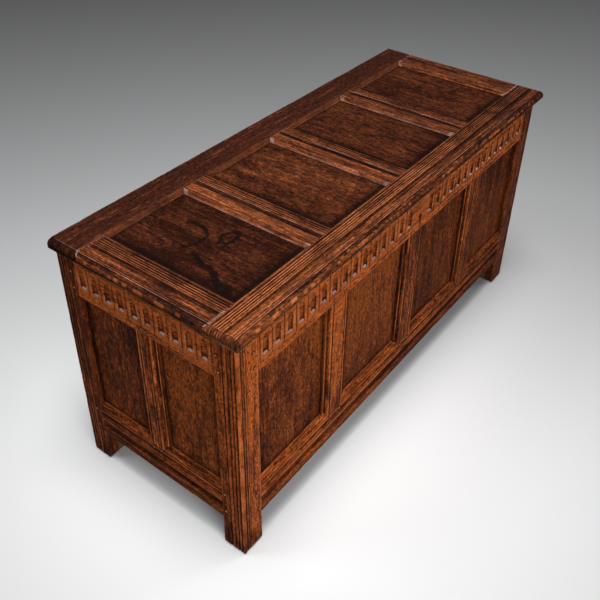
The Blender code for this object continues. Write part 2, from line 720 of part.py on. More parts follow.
def build_lid(axis_empty):
    thumbs = [end_thumb_cutter(f"lid_{end}_thumb", sign) for end, sign in (("left", -1), ("right", 1))]
    front = [(LID_FRONT + u, LID_BOTTOM + v) for u, v in border_outline(LID_FRONT_RAIL_WIDTH)]
    rear = [(LID_REAR - u, LID_BOTTOM + v) for u, v in rear_rail_outline(LID_REAR_RAIL_WIDTH)]
    rails = []
    for name, outline in (("lid_front_rail", front), ("lid_rear_rail", rear)):
        rail = prism(name, outline, "X", -LID_HALF_LENGTH, 2 * LID_HALF_LENGTH, ORIGIN, "frame")
        rails.append(adopt(rail, axis_empty))
        for thumb in thumbs:
            boolean(rail, thumb)
    copes = (rail_cope("lid_front_cope", LID_FRONT, 1, LID_FRONT_RAIL_WIDTH),
             rail_cope("lid_rear_cope", LID_REAR, -1, LID_REAR_RAIL_WIDTH))

    inner = LID_HALF_LENGTH - LID_STILE_WIDTH
    hidden = LID_GROOVE_DEPTH + 2 * END_SPACE
    for end, sign in (("left", -1), ("right", 1)):
        outline = [(sign * (LID_HALF_LENGTH - u), v) for u, v in border_outline(LID_STILE_WIDTH)]
        span = sorted((sign * (LID_HALF_LENGTH - LID_TENON_SHOULDER), sign * (inner + hidden)))
        build_lid_member(f"lid_{end}_stile", outline, span, rails, copes, axis_empty)

    clear = (2 * inner - LID_MUNTINS * LID_MUNTIN_WIDTH) / (LID_MUNTINS + 1)
    edges = [-inner]
    for number in range(1, LID_MUNTINS + 1):
        left = -inner + number * clear + (number - 1) * LID_MUNTIN_WIDTH
        right = left + LID_MUNTIN_WIDTH
        outline = [((left + right) / 2 + u, v) for u, v in lid_muntin_outline()]
        span = (left + hidden, right - hidden)
        build_lid_member(f"lid_muntin_{number}", outline, span, rails, copes, axis_empty)
        edges += [left, right]
    edges.append(inner)

    front_line = LID_FRONT + LID_FRONT_RAIL_WIDTH - LID_HOLD
    rear_line = LID_REAR - LID_REAR_RAIL_WIDTH + LID_HOLD
    for number, (left, right) in enumerate(zip(edges[::2], edges[1::2]), start=1):
        low = (left - LID_HOLD, front_line, LID_BOTTOM + LID_PANEL_BOTTOM)
        high = (right + LID_HOLD, rear_line, LID_BOTTOM + LID_PANEL_TOP)
        adopt(block(f"lid_panel_{number}", low, high, ORIGIN, "panel"), axis_empty)
    return rails


# Hinges

def wire_eye(name, ring_centre, ring_axis, heading, clench_place, parent):
    """A wire eye: a ring, a shank that leaves it along the heading, and the ends clenched out along X."""
    bm = bmesh.new()
    upright = Matrix.Rotation(math.pi / 2, 4, "X") @ Matrix.Rotation(math.pi / 2, 4, "Z")
    spoke = Matrix.Translation((EYE_RADIUS, 0.0, 0.0)) @ upright
    section = bmesh.ops.create_circle(bm, segments=WIRE_SIDES, radius=WIRE_RADIUS, matrix=spoke)
    bmesh.ops.spin(
        bm, geom=section["verts"] + list(bm.edges), cent=(0.0, 0.0, 0.0), axis=(0.0, 0.0, 1.0),
        angle=2 * math.pi, steps=EYE_STEPS, use_merge=True,
    )
    bmesh.ops.remove_doubles(bm, verts=bm.verts, dist=MERGE)
    eye = add(name, mesh_of(name, bm), ORIGIN, "iron")
    eye.rotation_euler = ring_axis.to_track_quat("Z", "X").to_euler()
    eye.location = ring_centre
    shank = rod(f"{name}_shank", ring_centre + heading * EYE_RADIUS, clench_place, WIRE_RADIUS, ORIGIN)
    out = Vector((CLENCH_LENGTH / 2, 0.0, 0.0))
    clench = rod(f"{name}_clench", clench_place - out, clench_place + out, WIRE_RADIUS, ORIGIN)
    boolean(eye, shank, "UNION")
    boolean(eye, clench, "UNION")
    return adopt(eye, parent) if parent is not ORIGIN else eye


def hinge_recess(rail, name, pivot, notch, clench_place):
    """The notch for the linked rings, and the holes for a shank and its clench, in one rail."""
    boolean(rail, block(f"{name}_notch", *notch, ORIGIN))
    boolean(rail, rod(f"{name}_hole", pivot, clench_place, WIRE_RADIUS + FIT, ORIGIN))
    out = Vector((CLENCH_LENGTH / 2 + FIT, 0.0, 0.0))
    boolean(rail, rod(f"{name}_bed", clench_place - out, clench_place + out, WIRE_RADIUS + FIT, ORIGIN))


def build_hinge(end, sign, carcass_rail, lid_rail, lid_axis):
    pivot = HINGE_AXIS + Vector((sign * (HALF_LENGTH - HINGE_INSET), 0.0, 0.0))
    along = Vector((1.0, 0.0, 0.0))
    up = Vector((0.0, -1.0, 1.0)).normalized()
    down = Vector((0.0, -1.0, -1.0)).normalized()
    sunk = WIRE_RADIUS - CLENCH_PROUD
    lid_clench = pivot + up * ((LID_TOP - sunk - pivot.z) / up.z)
    carcass_clench = pivot + down * ((REAR_INNER_FACE + sunk - pivot.y) / down.y)
    wire_eye(f"hinge_{end}_lid_eye", pivot + up * EYE_RADIUS, along.cross(up), up, lid_clench, lid_axis)
    wire_eye(f"hinge_{end}_carcass_eye", pivot, along, down, carcass_clench, ORIGIN)

    half = EYE_RADIUS + WIRE_RADIUS + END_SPACE
    lid_notch = (2 * EYE_RADIUS + 2 * WIRE_RADIUS) * up.z + END_SPACE
    hinge_recess(
        lid_rail, f"hinge_{end}_lid", pivot,
        (pivot + Vector((-half, -lid_notch, -CUT)), pivot + Vector((half, CUT, lid_notch))), lid_clench,
    )
    hinge_recess(
        carcass_rail, f"hinge_{end}_carcass", pivot,
        (pivot + Vector((-half, -half, -half)), pivot + Vector((half, CUT, CUT))), carcass_clench,
    )


# Lock

def keyhole_outline():
    half = KEYHOLE_SLOT_WIDTH / 2
    turn = math.degrees(math.asin(half / KEYHOLE_RADIUS))
    centre, radii = (KEYHOLE_X, KEYHOLE_LEVEL), (KEYHOLE_RADIUS, KEYHOLE_RADIUS)
    bow = arc(centre, radii, turn - 90, 270 - turn, KEYHOLE_STEPS)
    foot = KEYHOLE_LEVEL - KEYHOLE_SLOT_DROP
    return [*bow, (KEYHOLE_X - half, foot), (KEYHOLE_X + half, foot)]


def build_lock(top_rail, lid_axis):
    plate_back = FRONT_INNER_FACE + FIT + LOCK_PLATE_THICKNESS
    case_front = plate_back + FIT
    case_back = case_front + LOCK_CASE_DEPTH
    middle = KEYHOLE_LEVEL + LOCK_RISE
    reach = plate_back + HALF_DEPTH + 2 * CUT
    keyhole = prism("keyhole", keyhole_outline(), "Y", -HALF_DEPTH - CUT, reach, ORIGIN)
    boolean(top_rail, keyhole)

    half_x, half_z = LOCK_PLATE_WIDTH / 2, LOCK_PLATE_HEIGHT / 2
    plate = block(
        "lock_plate", (KEYHOLE_X - half_x, FRONT_INNER_FACE + FIT, middle - half_z),
        (KEYHOLE_X + half_x, plate_back, middle + half_z), ORIGIN, "iron",
    )
    boolean(plate, keyhole)

    half_x, half_z = LOCK_CASE_WIDTH / 2, LOCK_CASE_HEIGHT / 2
    low = Vector((KEYHOLE_X - half_x, case_front, middle - half_z))
    high = Vector((KEYHOLE_X + half_x, case_back, middle + half_z))
    case = block("lock_case", low, high, ORIGIN, "iron")
    wall = Vector((LOCK_CASE_WALL, LOCK_CASE_WALL, LOCK_CASE_WALL))
    inside_low, inside_high = low + wall, high - wall
    inside_low.y = case_front - CUT
    boolean(case, block("lock_case_inside", inside_low, inside_high, ORIGIN))

    bolt_y = FRONT_INNER_FACE + BOLT_STANDOFF
    bolt_half = Vector((0.0, BOLT_THICKNESS / 2, BOLT_HEIGHT / 2))
    nose = Vector((KEYHOLE_X + BOLT_NOSE, bolt_y, BOLT_LEVEL))
    tail = nose - Vector((BOLT_LENGTH, 0.0, 0.0))
    block("lock_bolt", tail - bolt_half, nose + bolt_half, ORIGIN, "iron")
    slack = Vector((CUT, FIT, FIT))
    tunnel = block("lock_bolt_tunnel", tail - bolt_half - slack, nose + bolt_half + slack, ORIGIN)
    cheek = Vector((0.0, FIT + LOCK_CASE_WALL, FIT + LOCK_CASE_WALL))
    guide_high = nose + bolt_half + cheek - Vector((LOCK_CASE_WALL, 0.0, 0.0))
    guide_low = nose - bolt_half - cheek - Vector((LOCK_CASE_WALL + BOLT_GUIDE_LENGTH, 0.0, 0.0))
    guide_high.y = case_back - LOCK_CASE_WALL + ROOT
    boolean(case, block("lock_bolt_guide", guide_low, guide_high, ORIGIN), "UNION")
    boolean(case, tunnel)

    build_staple(case, bolt_y, high.z, lid_axis)


def build_staple(case, bolt_y, case_top, lid_axis):
    """The staple hangs under the lid, drops through a slot in the case and takes the bolt in its eye."""
    middle = Vector((KEYHOLE_X + STAPLE_OFFSET, bolt_y, BOLT_LEVEL))
    eye = Vector((STAPLE_THICKNESS / 2, STAPLE_EYE_WIDTH / 2, STAPLE_EYE_HEIGHT / 2))
    rim = Vector((0.0, STAPLE_RIM, STAPLE_RIM))
    top = LID_BOTTOM - FIT
    plate_half = Vector((STAPLE_PLATE_LENGTH / 2, STAPLE_PLATE_WIDTH / 2, 0.0))
    plate_low = Vector((middle.x, middle.y, top - STAPLE_PLATE_THICKNESS)) - plate_half
    plate_high = Vector((middle.x, middle.y, top)) + plate_half
    staple = adopt(block("lid_staple", plate_low, plate_high, ORIGIN, "iron"), lid_axis)
    loop_low, loop_high = middle - eye - rim, middle + eye + rim
    loop_high.z = top - STAPLE_PLATE_THICKNESS + ROOT
    boolean(staple, block("lid_staple_loop", loop_low, loop_high, ORIGIN), "UNION")
    reach = Vector((CUT, 0.0, 0.0))
    boolean(staple, block("lid_staple_eye", middle - eye - reach, middle + eye + reach, ORIGIN))
    slot_bottom = case_top - LOCK_CASE_WALL - ROOT
    slot_low = Vector((loop_low.x - END_SPACE, loop_low.y - STAPLE_SWING_FRONT, slot_bottom))
    slot_high = Vector((loop_high.x + END_SPACE, loop_high.y + STAPLE_SWING_REAR, case_top + CUT))
    boolean(case, block("lock_staple_slot", slot_low, slot_high, ORIGIN))


# The whole coffer

MORTISES = {side.name: build_side(side) for side in SIDES}
STILES = (
    ("stile_front_left", 1, 1, FRONT_STILE_DEPTH, (("front", "left"), ("left", "right"))),
    ("stile_front_right", -1, 1, FRONT_STILE_DEPTH, (("front", "right"), ("right", "left"))),
    ("stile_rear_left", 1, -1, REAR_STILE_DEPTH, (("rear", "right"), ("left", "left"))),
    ("stile_rear_right", -1, -1, REAR_STILE_DEPTH, (("rear", "left"), ("right", "right"))),
)
for stile_name, across_sign, inwards_sign, stile_depth, ends in STILES:
    stile_mortises = [MORTISES[side][end] for side, end in ends]
    build_stile(stile_name, across_sign, inwards_sign, stile_depth, stile_mortises)
build_bottom()

LID_AXIS = empty("lid_axis", HINGE_AXIS, 0.0, ORIGIN)
LID_RAILS = build_lid(LID_AXIS)
for hinge_end, hinge_sign in (("left", -1), ("right", 1)):
    build_hinge(hinge_end, hinge_sign, bpy.data.objects["rear_top_rail"], LID_RAILS[1], LID_AXIS)
build_lock(bpy.data.objects["front_top_rail"], LID_AXIS)
bpy.context.view_layer.update()
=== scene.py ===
"""The dressed coffer: waxed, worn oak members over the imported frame, on a pale studio floor."""

import math
from functools import partial

import bpy
import numpy as np
from mathutils import Matrix, Vector


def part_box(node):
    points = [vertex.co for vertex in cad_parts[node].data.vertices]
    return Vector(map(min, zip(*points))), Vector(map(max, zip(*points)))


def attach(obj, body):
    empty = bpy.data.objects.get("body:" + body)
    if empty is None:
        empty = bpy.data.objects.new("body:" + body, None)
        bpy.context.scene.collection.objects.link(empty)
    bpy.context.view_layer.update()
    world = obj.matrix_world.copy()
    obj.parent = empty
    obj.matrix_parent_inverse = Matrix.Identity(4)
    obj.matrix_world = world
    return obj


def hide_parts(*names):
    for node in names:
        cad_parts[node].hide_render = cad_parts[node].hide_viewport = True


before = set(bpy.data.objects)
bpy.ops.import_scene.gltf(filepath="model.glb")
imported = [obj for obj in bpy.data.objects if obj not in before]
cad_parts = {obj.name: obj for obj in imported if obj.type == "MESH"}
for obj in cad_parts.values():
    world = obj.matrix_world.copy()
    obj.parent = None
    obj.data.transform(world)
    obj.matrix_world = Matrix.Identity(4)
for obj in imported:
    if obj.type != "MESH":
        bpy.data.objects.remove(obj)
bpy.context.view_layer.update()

MM = 0.001
X = np.array((1.0, 0.0, 0.0))
Y = np.array((0.0, 1.0, 0.0))
Z = np.array((0.0, 0.0, 1.0))

# Sizes of the finish, in millimetres
STATION, PLAIN_STATION = 4.0, 6.0
FACE_STEP, PANEL_STEP, STILE_STEP, HIDDEN_STEP = 4.0, 3.0, 12.0, 40.0
SHOULDER = 0.7
FINE_REACH, BROAD_REACH = 1.6, 6.0
FACE_SKIN, BACK_SKIN, SHOWN_DEPTH, LID_UNDERSIDE, STILE_SKIN = 0.1, 1.0, 11.0, 2.0, 2.0
SMOOTH_BELOW = math.radians(38)

# An eased arris, from the edge onto the face
ARRIS, ARRIS_BREAK = 1.4, 0.4
EASED = [(0.0, ARRIS), (ARRIS_BREAK, ARRIS_BREAK), (ARRIS, 0.0)]

# Mouldings, in millimetres
THUMB_WIDTH, THUMB_FOOT, THUMB_FILLET = 11.0, 14.0, 2.0
FILLET_START, FILLET_END, RIM_WIDTH = THUMB_WIDTH + 0.5, THUMB_WIDTH + 2.4, 2.4
LID_SPLAY_WIDTH, LID_SPLAY_DROP = 10.0, 8.5
LID_SPLAY_FOOT = LID_SPLAY_DROP + FACE_SKIN
RIDGE_TO_LIP, REED_DEPTH, BORDER_REEDS, MUNTIN_REEDS = 31.0, 1.9, 4, 3
SILL_SPLAY_HEIGHT, SILL_SPLAY_DEPTH = 19.0, 10.0
LID_GROOVE_DEPTH, GROOVE_DEPTH, GROOVE_PLAY = 9.0, 10.0, 0.3
SCRIBE_REACH, FOOT_EASE = 40.0, 9.0

# Carved frieze, in millimetres from the foot of the top rail
FLUTE_WIDTH, FLUTE_HEIGHT, FLUTE_DEPTH = 19.0, 56.0, 5.5
FLUTE_RISE, FLUTE_LEDGE, FLUTE_SHELF = 26.0, 5.0, 6.0
FLUTE_INSET, FLUTE_LEFT_PITCH, FLUTE_RIGHT_PITCH, FLUTE_SIDE_PITCH = 24.0, 38.5, 36.5, 38.5
FLUTE_SIDE_MARGIN, KEYHOLE_CLEARANCE = 16.0, 30.0
VEIN_WIDTH, VEIN_DEPTH, VEIN_LOW, VEIN_HIGH = 2.4, 1.6, 18.0, 88.0
PUNCH_RADIUS, PUNCH_DEPTH, PUNCH_SHIFT, WIDE_GAP = 2.6, 1.8, 1.6, 1.5
FRIEZE_ROWS = ((4.0, 22.0, 4.5), (22.0, 37.0, 0.9), (38.0, 70.0, 4.0), (70.0, 92.0, 1.8))
PLAIN_ROWS_START, PLAIN_ROWS_STEP = 93.0, 4.0
KEYHOLE_RADIUS, KEYHOLE_SLOT_WIDTH, KEYHOLE_SLOT_DROP, KEYHOLE_RISE = 5.8, 6.6, 20.0, 41.0
KEYHOLE_CUT = (-5.0, 40.0)

# Pegs, in millimetres: their heads, and their places from the edges of the members
PEG_RADIUS, PEG_PROUD, PEG_DEPTH = 5.2, 1.3, 6.0
PEG_SIDES = 9
PEG_RINGS = ((PEG_RADIUS, PEG_DEPTH), (PEG_RADIUS, -0.1 * PEG_PROUD), (0.72 * PEG_RADIUS, -0.4 * PEG_PROUD),
             (0.60 * PEG_RADIUS, -0.8 * PEG_PROUD), (0.3 * PEG_RADIUS, -PEG_PROUD))
# Each peg's rings, from the wood out: dark round the sides of the head, then a painted highlight on its top
PEG_DARK_RIM_AND_GLINT = np.repeat((-1.0, -1.0, -0.9, 0.62, 0.70), PEG_SIDES)
PEGS_ABOVE_HEAD, PEGS_BELOW_SILL, PEG_STILE_INSET = (18.0, 61.0), (84.0, 27.0), 13.0
MUNTIN_PEG_INSET, MUNTIN_PEG_ABOVE, MUNTIN_PEG_BELOW = 26.0, 9.0, 25.0

# Old dark marks on one panel of the lid, in millimetres from its middle
STAINED_PANEL = "lid_panel_1"
HOOK_MIDDLE, HOOK_RADIUS = (0.0, 63.0), 46.0
RING_MIDDLE, RING_RADIUS = (46.0, -22.0), 14.0
RUN_START, RUN_DRIFT, RUN_TOP, RUN_LENGTH = -34.0, 64.0, 0.0, 135.0
# How much further the painted shade reaches in from the front and left edges of the lid's panels, in
# millimetres
PANEL_SHADE = 10.0

# How light or dark each piece of wood is, as two numbers where its ends differ. The values are partly the
# wood's own colour and partly painted light and shade: upper ends lighter, and pieces and ends away from the
# light darker
TONES_AND_LIGHT = {
    "front_top_rail": (0.56, 0.12), "left_top_rail": (0.30, 0.42),
    "front_bottom_rail": (0.12, -0.32), "left_bottom_rail": (-0.24, -0.12),
    "rear_bottom_rail": -0.44, "right_bottom_rail": -0.44,
    "stile_front_left": (-0.25, 0.52), "stile_front_right": -0.40,
    "stile_rear_left": -0.26, "stile_rear_right": -0.10,
    "front_muntin_1": (-0.12, 0.66), "front_muntin_2": -0.10, "front_muntin_3": -0.18,
    "front_panel_1": (-0.18, 0.44), "front_panel_2": (-0.12, 0.54), "front_panel_3": -0.08,
    "front_panel_4": -0.15, "left_panel_1": 0.03, "left_panel_2": (0.28, 0.34),
    "lid_front_rail": (0.36, -0.40), "lid_rear_rail": -0.54,
    "lid_left_stile": -0.18, "lid_right_stile": -0.30,
    "lid_muntin_1": -0.12, "lid_muntin_2": -0.18, "lid_muntin_3": -0.24,
    "lid_panel_1": -0.28, "lid_panel_2": -0.06, "lid_panel_3": -0.19, "lid_panel_4": -0.21,
}

# Colours that every oak shares: near black for soot, stains, soiling and painted shade; a pale worn colour
# that also gives painted highlights; a blue-white wax bloom that also gives painted glints; dry inside wood;
# and how much pale specks lighten
SOOT_AND_SHADE, WORN_AND_LIT_OAK, WAX_BLOOM_AND_GLINT = (0.0078, 0.0046, 0.0044), (0.540, 0.195, 0.080), (0.420, 0.430, 0.480)
DRY_DARK, DRY_LIGHT, SPECK_GAIN = (0.085, 0.045, 0.022), (0.190, 0.110, 0.058), (1.75, 1.68, 1.60)

# Floor, light and camera
FLOOR_SIZE = 14.0
FLOOR_AXES = (((0.803, 0.596, 0.0), -0.355, 0.67), ((0.596, -0.803, 0.0), -0.14, 0.81))
FLOOR_PALE, FLOOR_FALL, FLOOR_BOUNCE = 1.0, 0.53, 0.35
WORLD_COLOUR, WORLD_STRENGTH = (0.97, 0.98, 1.0, 1.0), 0.13
LAMP_TARGET, LAMP_DISTANCE = Vector((0.0, 0.0, 0.35)), 6.0
LAMPS = (
    ("overhead", (-0.13, -0.11, 1.0), 2.4, 0.88, (1.0, 1.0, 1.0)),
    ("front", (-0.52, -0.85, 0.08), 3.0, 0.84, (1.0, 0.99, 0.98)),
    ("window", (-0.45, 0.42, 0.79), 1.6, 0.14, (0.88, 0.94, 1.0)),
    ("right_window", (0.76, -0.48, 0.44), 1.6, 0.13, (0.90, 0.95, 1.0)),
)
CAMERA_SENSOR, CAMERA_LENS, CAMERA_SHIFT = 36.0, 47.175, -0.1
CAMERA_PLACE = Vector((-1.42716, -0.95594, 1.61462))
CAMERA_RIGHT = Vector((0.602688, -0.797877, 0.012638))
CAMERA_FORWARD = Vector((0.655536, 0.486014, -0.577982))


# Noise and small curves

def lattice(ix, iy, iz, seed):
    """A repeatable value from 0 to 1 for each lattice point."""
    low_bits = 0xFFFFFFFF
    n = (ix * 73856093) ^ (iy * 19349663) ^ (iz * 83492791) ^ (seed * 40503)
    n = (((n ^ (n >> 13)) & low_bits) * 1274126177) & low_bits
    n = ((n ^ (n >> 15)) * 668265263) & low_bits
    return ((n ^ (n >> 16)) & 0xFFFF) / 65535.0


def noise(x, y=0.0, z=0.0, seed=0):
    """Smooth value noise from -1 to 1, one unit to a lattice cell."""
    points = np.broadcast_arrays(*(np.asarray(p, float) for p in (x, y, z)))
    cells = [np.floor(p).astype(np.int64) for p in points]
    eased = [(p - c) ** 2 * (3 - 2 * (p - c)) for p, c in zip(points, cells)]
    total = 0.0
    for corner in range(8):
        bits = [(corner >> k) & 1 for k in range(3)]
        weight = 1.0
        for ease, bit in zip(eased, bits):
            weight = weight * (ease if bit else 1 - ease)
        total = total + weight * lattice(*(c + b for c, b in zip(cells, bits)), seed)
    return 2 * total - 1


def seed_of(name):
    return sum((i + 1) * ord(letter) for i, letter in enumerate(name)) % 9973


def unit(value):
    return np.clip(value, 0.0, 1.0)


def between(value, low, high):
    return (value > low) & (value < high)


def bands(place, *steps):
    """The value of the last (start, end, value) band that holds each place, or 0."""
    result = np.zeros_like(place)
    for start, end, value in steps:
        result = np.where((place >= start) & (place <= end), value, result)
    return result


def arc(centre, radius, start, end, steps):
    angles = [math.radians(start + (end - start) * i / steps) for i in range(steps + 1)]
    return [(centre[0] + radius * math.cos(a), centre[1] + radius * math.sin(a)) for a in angles]


def scratch(middle, width, depth):
    """A scratched line in a face."""
    return [(middle - width / 2, 0.0), (middle - width / 5, depth), (middle + width / 5, depth),
            (middle + width / 2, 0.0)]


def reeds(start, end, count, depth):
    """Fine reeds side by side, as rounded ridges with narrow grooves between."""
    pitch = (end - start) / count
    profile = ((0.0, 1.0), (0.18, 1.0), (0.30, 0.25), (0.50, 0.0), (0.70, 0.25), (0.82, 1.0))
    points = [(start + (i + t) * pitch, share * depth) for i in range(count) for t, share in profile]
    return points + [(end, depth)]


def mirrored(points, width):
    return [(width - u, d) for u, d in points[::-1]]


def groove(edge, sign, depth, near, far):
    """A panel groove in an edge, from its outer lip inwards. The sign points into the wood."""
    inner = edge + sign * depth
    near, far = near - GROOVE_PLAY, far + GROOVE_PLAY
    return [(edge, near), (inner, near), (inner, far), (edge, far)]


# Members

def refined(outline, fine, coarse, step=FACE_STEP):
    """The closed outline with points added: close together on the show faces, far apart elsewhere."""
    points = []
    for (u0, d0), (u1, d1) in zip(outline, outline[1:] + outline[:1]):
        length = math.hypot(u1 - u0, d1 - d0)
        count = max(1, math.ceil(length / (step if fine((u0 + u1) / 2, (d0 + d1) / 2) else coarse)))
        points += [(u0 + (u1 - u0) * i / count, d0 + (d1 - d0) * i / count) for i in range(count)]
    return np.array(points)


def kernel(apart, share, reach):
    """Weights that smooth over a reach, from the distances and each point's share of the length."""
    weight = np.exp(-0.5 * (apart / reach) ** 2) * share[None, :]
    return weight / weight.sum(1, keepdims=True)


def loop_kernel(points, reach):
    """Weights that smooth a closed loop along its own length."""
    ahead = np.linalg.norm(np.roll(points, -1, 0) - points, axis=1)
    place = np.concatenate(([0.0], np.cumsum(ahead)[:-1]))
    apart = np.abs(place[:, None] - place[None, :])
    return kernel(np.minimum(apart, ahead.sum() - apart), (ahead + np.roll(ahead, 1)) / 2, reach)


def line_kernel(places, reach):
    """Weights that smooth along a row of stations."""
    return kernel(places[:, None] - places[None, :], np.gradient(places), reach)


def area(points):
    after = np.roll(points, -1, 0)
    return 0.5 * float(np.sum(points[:, 0] * after[:, 1] - points[:, 1] * after[:, 0]))


def outward(points):
    tangent = np.roll(points, -1, 0) - np.roll(points, 1, 0)
    tangent = tangent / np.maximum(np.linalg.norm(tangent, axis=1, keepdims=True), 1e-9)
    normal = np.stack((tangent[:, 1], -tangent[:, 0]), 1)
    return normal if area(points) > 0 else -normal


def stations_to(length, step=STATION):
    count = max(3, math.ceil(length / step))
    inner = np.linspace(2 * SHOULDER, length - 2 * SHOULDER, count)
    return np.concatenate(([0.0, SHOULDER], inner, [length - SHOULDER, length]))


def standing_out(outline, normal, smooth):
    """How far each point of an outline stands out from the smoothed one."""
    return np.sum((outline - smooth @ outline) * normal, 1)


def relief(outline, normal, stations, sink, reach):
    """How far each point stands out from its surroundings within a reach."""
    smooth = loop_kernel(outline, reach)
    sunk = sink - line_kernel(stations, reach) @ sink @ smooth.T
    return standing_out(outline, normal, smooth)[None, :] - sunk


def member(node, body, place, outline, stations, material, slot="frame", carve=None, trim=None, rub=None,
           nick=1.0, warp=0.25, dry=None):
    """A node's length of wood, its outline of (across, depth) drawn along the grain through the stations.

    place is its corner and the directions across, inwards and along. carve gives how far the carving
    goes in, rub where it is worn, polished or given a painted highlight (up to 1) and where it is dirty
    or given painted shade (down to -1), and trim bends the finished grid, such as an end scribed over a
    moulding. dry tells which faces are inside the coffer and unfinished, and is its back if left out.
    """
    corner, across, inwards, along = place
    name = f"{node}_wood"
    seed = seed_of(name)
    normal = outward(outline)
    w = np.asarray(stations, float)
    u, d = (np.repeat(outline[None, :, k], len(w), 0) for k in (0, 1))
    v = np.repeat(w[:, None], len(outline), 1)

    # Chips and bites out of the edges and a slow warp of the faces
    edge = unit(standing_out(outline, normal, loop_kernel(outline, FINE_REACH)) / 0.9)[None, :]
    chips = unit(noise(v / 9.0, u / 7.0, d / 7.0, seed) - 0.15)
    bites = unit(noise(v / 38.0, u / 26.0, d / 26.0, seed + 7) - 0.45)
    sink = nick * edge * (0.25 + 2.2 * chips ** 1.4 + 3.5 * bites)
    sink = sink + warp * (1.0 + noise(v / 140.0, u / 45.0, d / 45.0, seed + 3)) / 2
    sink[[0, -1]] += SHOULDER
    if carve:
        sink = sink + carve(u, d, v)
    # Worn places and painted highlights up to 1, soiling and painted shade down to -1
    rubbing = rub(u, d, v) if rub else np.zeros_like(u)
    fine, broad = (relief(outline, normal, w, sink, reach) for reach in (FINE_REACH, BROAD_REACH))
    u = u - sink * normal[None, :, 0]
    d = d - sink * normal[None, :, 1]
    grain = np.stack((v, u, d), -1).reshape(-1, 3) * MM
    back = dry(u, d) if dry else d > outline[:, 1].max() - BACK_SKIN
    if trim:
        u, d, v = trim(u, d, v)

    points = corner + MM * (u[..., None] * across + d[..., None] * inwards + v[..., None] * along)
    inside_out = area(outline) * np.linalg.det(np.stack((across, inwards, along))) < 0
    mesh = tubes(name, [points], inside_out)
    shift = np.array((noise(seed * 1.7), noise(seed * 2.3), noise(seed * 3.1))) * 5.0
    # Each piece's lightness, with its painted light and shade, eased from one end to the other
    tone_and_light = np.interp(np.repeat(w, len(outline)), (w[0], w[-1]), np.broadcast_to(TONES_AND_LIGHT.get(node, 0.0), 2))
    paint(mesh, grain + shift, fine.ravel(), broad.ravel(), rubbing.ravel(), back.ravel(), tone_and_light)
    return piece(name, mesh, [node], body, material)


def tubes(name, runs, inside_out=False):
    """A mesh of closed tubes, each a run of rings of points."""
    faces, base = [], 0
    for points in runs:
        index = base + np.arange(points[..., 0].size).reshape(points.shape[:2])
        after = np.roll(index, -1, 1)
        quads = np.stack((index[:-1], after[:-1], after[1:], index[1:]), -1).reshape(-1, 4)
        faces += [*quads.tolist(), index[0, ::-1].tolist(), index[-1].tolist()]
        base += index.size
    if inside_out:
        faces = [face[::-1] for face in faces]
    mesh = bpy.data.meshes.new(name)
    mesh.from_pydata(np.concatenate([points.reshape(-1, 3) for points in runs]).tolist(), [], faces)
    return mesh


def paint(mesh, grain, fine, broad, rubbing, back, tone_and_light):
    """Keeps what the wood's material reads: the grain's own place; soiling with painted shade and worn places
    with painted highlights, from the relief and the given marks; the back face; and each piece's lightness,
    partly painted light.
    """
    layer = mesh.attributes.new("grain", "FLOAT_VECTOR", "POINT")
    layer.data.foreach_set("vector", np.asarray(grain, np.float32).ravel())
    # Positive marks are worn or polished places and painted highlights, negative marks soiling and painted
    # shade
    shine, dirt_and_shade = unit(rubbing), unit(-rubbing)
    polish_and_glint = unit((shine - 0.55) / 0.4)
    # From the relief: hollows darkened by soiling and painted shade, ridges lightened by wear and painted
    # highlights
    grime_and_shade = unit(-fine / 0.45) * 0.95 + unit(-broad / 2.4) * 0.65
    wear_and_highlight = unit(fine / 0.55) * 0.7 + unit(broad / 2.4) * 0.4
    # edge sets the gloss, and the painted glint on the brightest edges
    values = {
        "grime_and_shade": (grime_and_shade + dirt_and_shade) * (1.0 - shine),
        "wear_and_highlight": wear_and_highlight * (1.0 - dirt_and_shade) + 1.4 * shine * np.clip((0.68 - shine) / 0.15, 0.15, 1.0),
        "edge": 0.15 * unit((fine - 0.22) / 0.45) * (1.0 - dirt_and_shade) + polish_and_glint,
        "back": back,
        "tone_and_light": np.broadcast_to(tone_and_light, fine.shape),
        "stain": np.zeros(len(fine)),
    }
    for key, value in values.items():
        mesh.attributes.new(key, "FLOAT", "POINT")
        fill_layer(mesh, key, np.clip(value, -1.0, 1.0))


def fill_layer(mesh, key, values):
    mesh.attributes[key].data.foreach_set("value", values.astype(np.float32))


def points_of(mesh):
    points = np.zeros(3 * len(mesh.vertices), np.float32)
    mesh.vertices.foreach_get("co", points)
    return points.reshape(-1, 3)


def placed(name, data):
    obj = bpy.data.objects.new(name, data)
    bpy.context.scene.collection.objects.link(obj)
    return obj


def piece(name, mesh, nodes, body, material):
    mesh.shade_smooth()
    mesh.set_sharp_from_angle(angle=SMOOTH_BELOW)
    mesh.materials.append(material)
    obj = placed(name, mesh)
    bpy.context.view_layer.update()
    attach(obj, body)
    if nodes:
        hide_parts(*nodes)
    return obj


# Materials

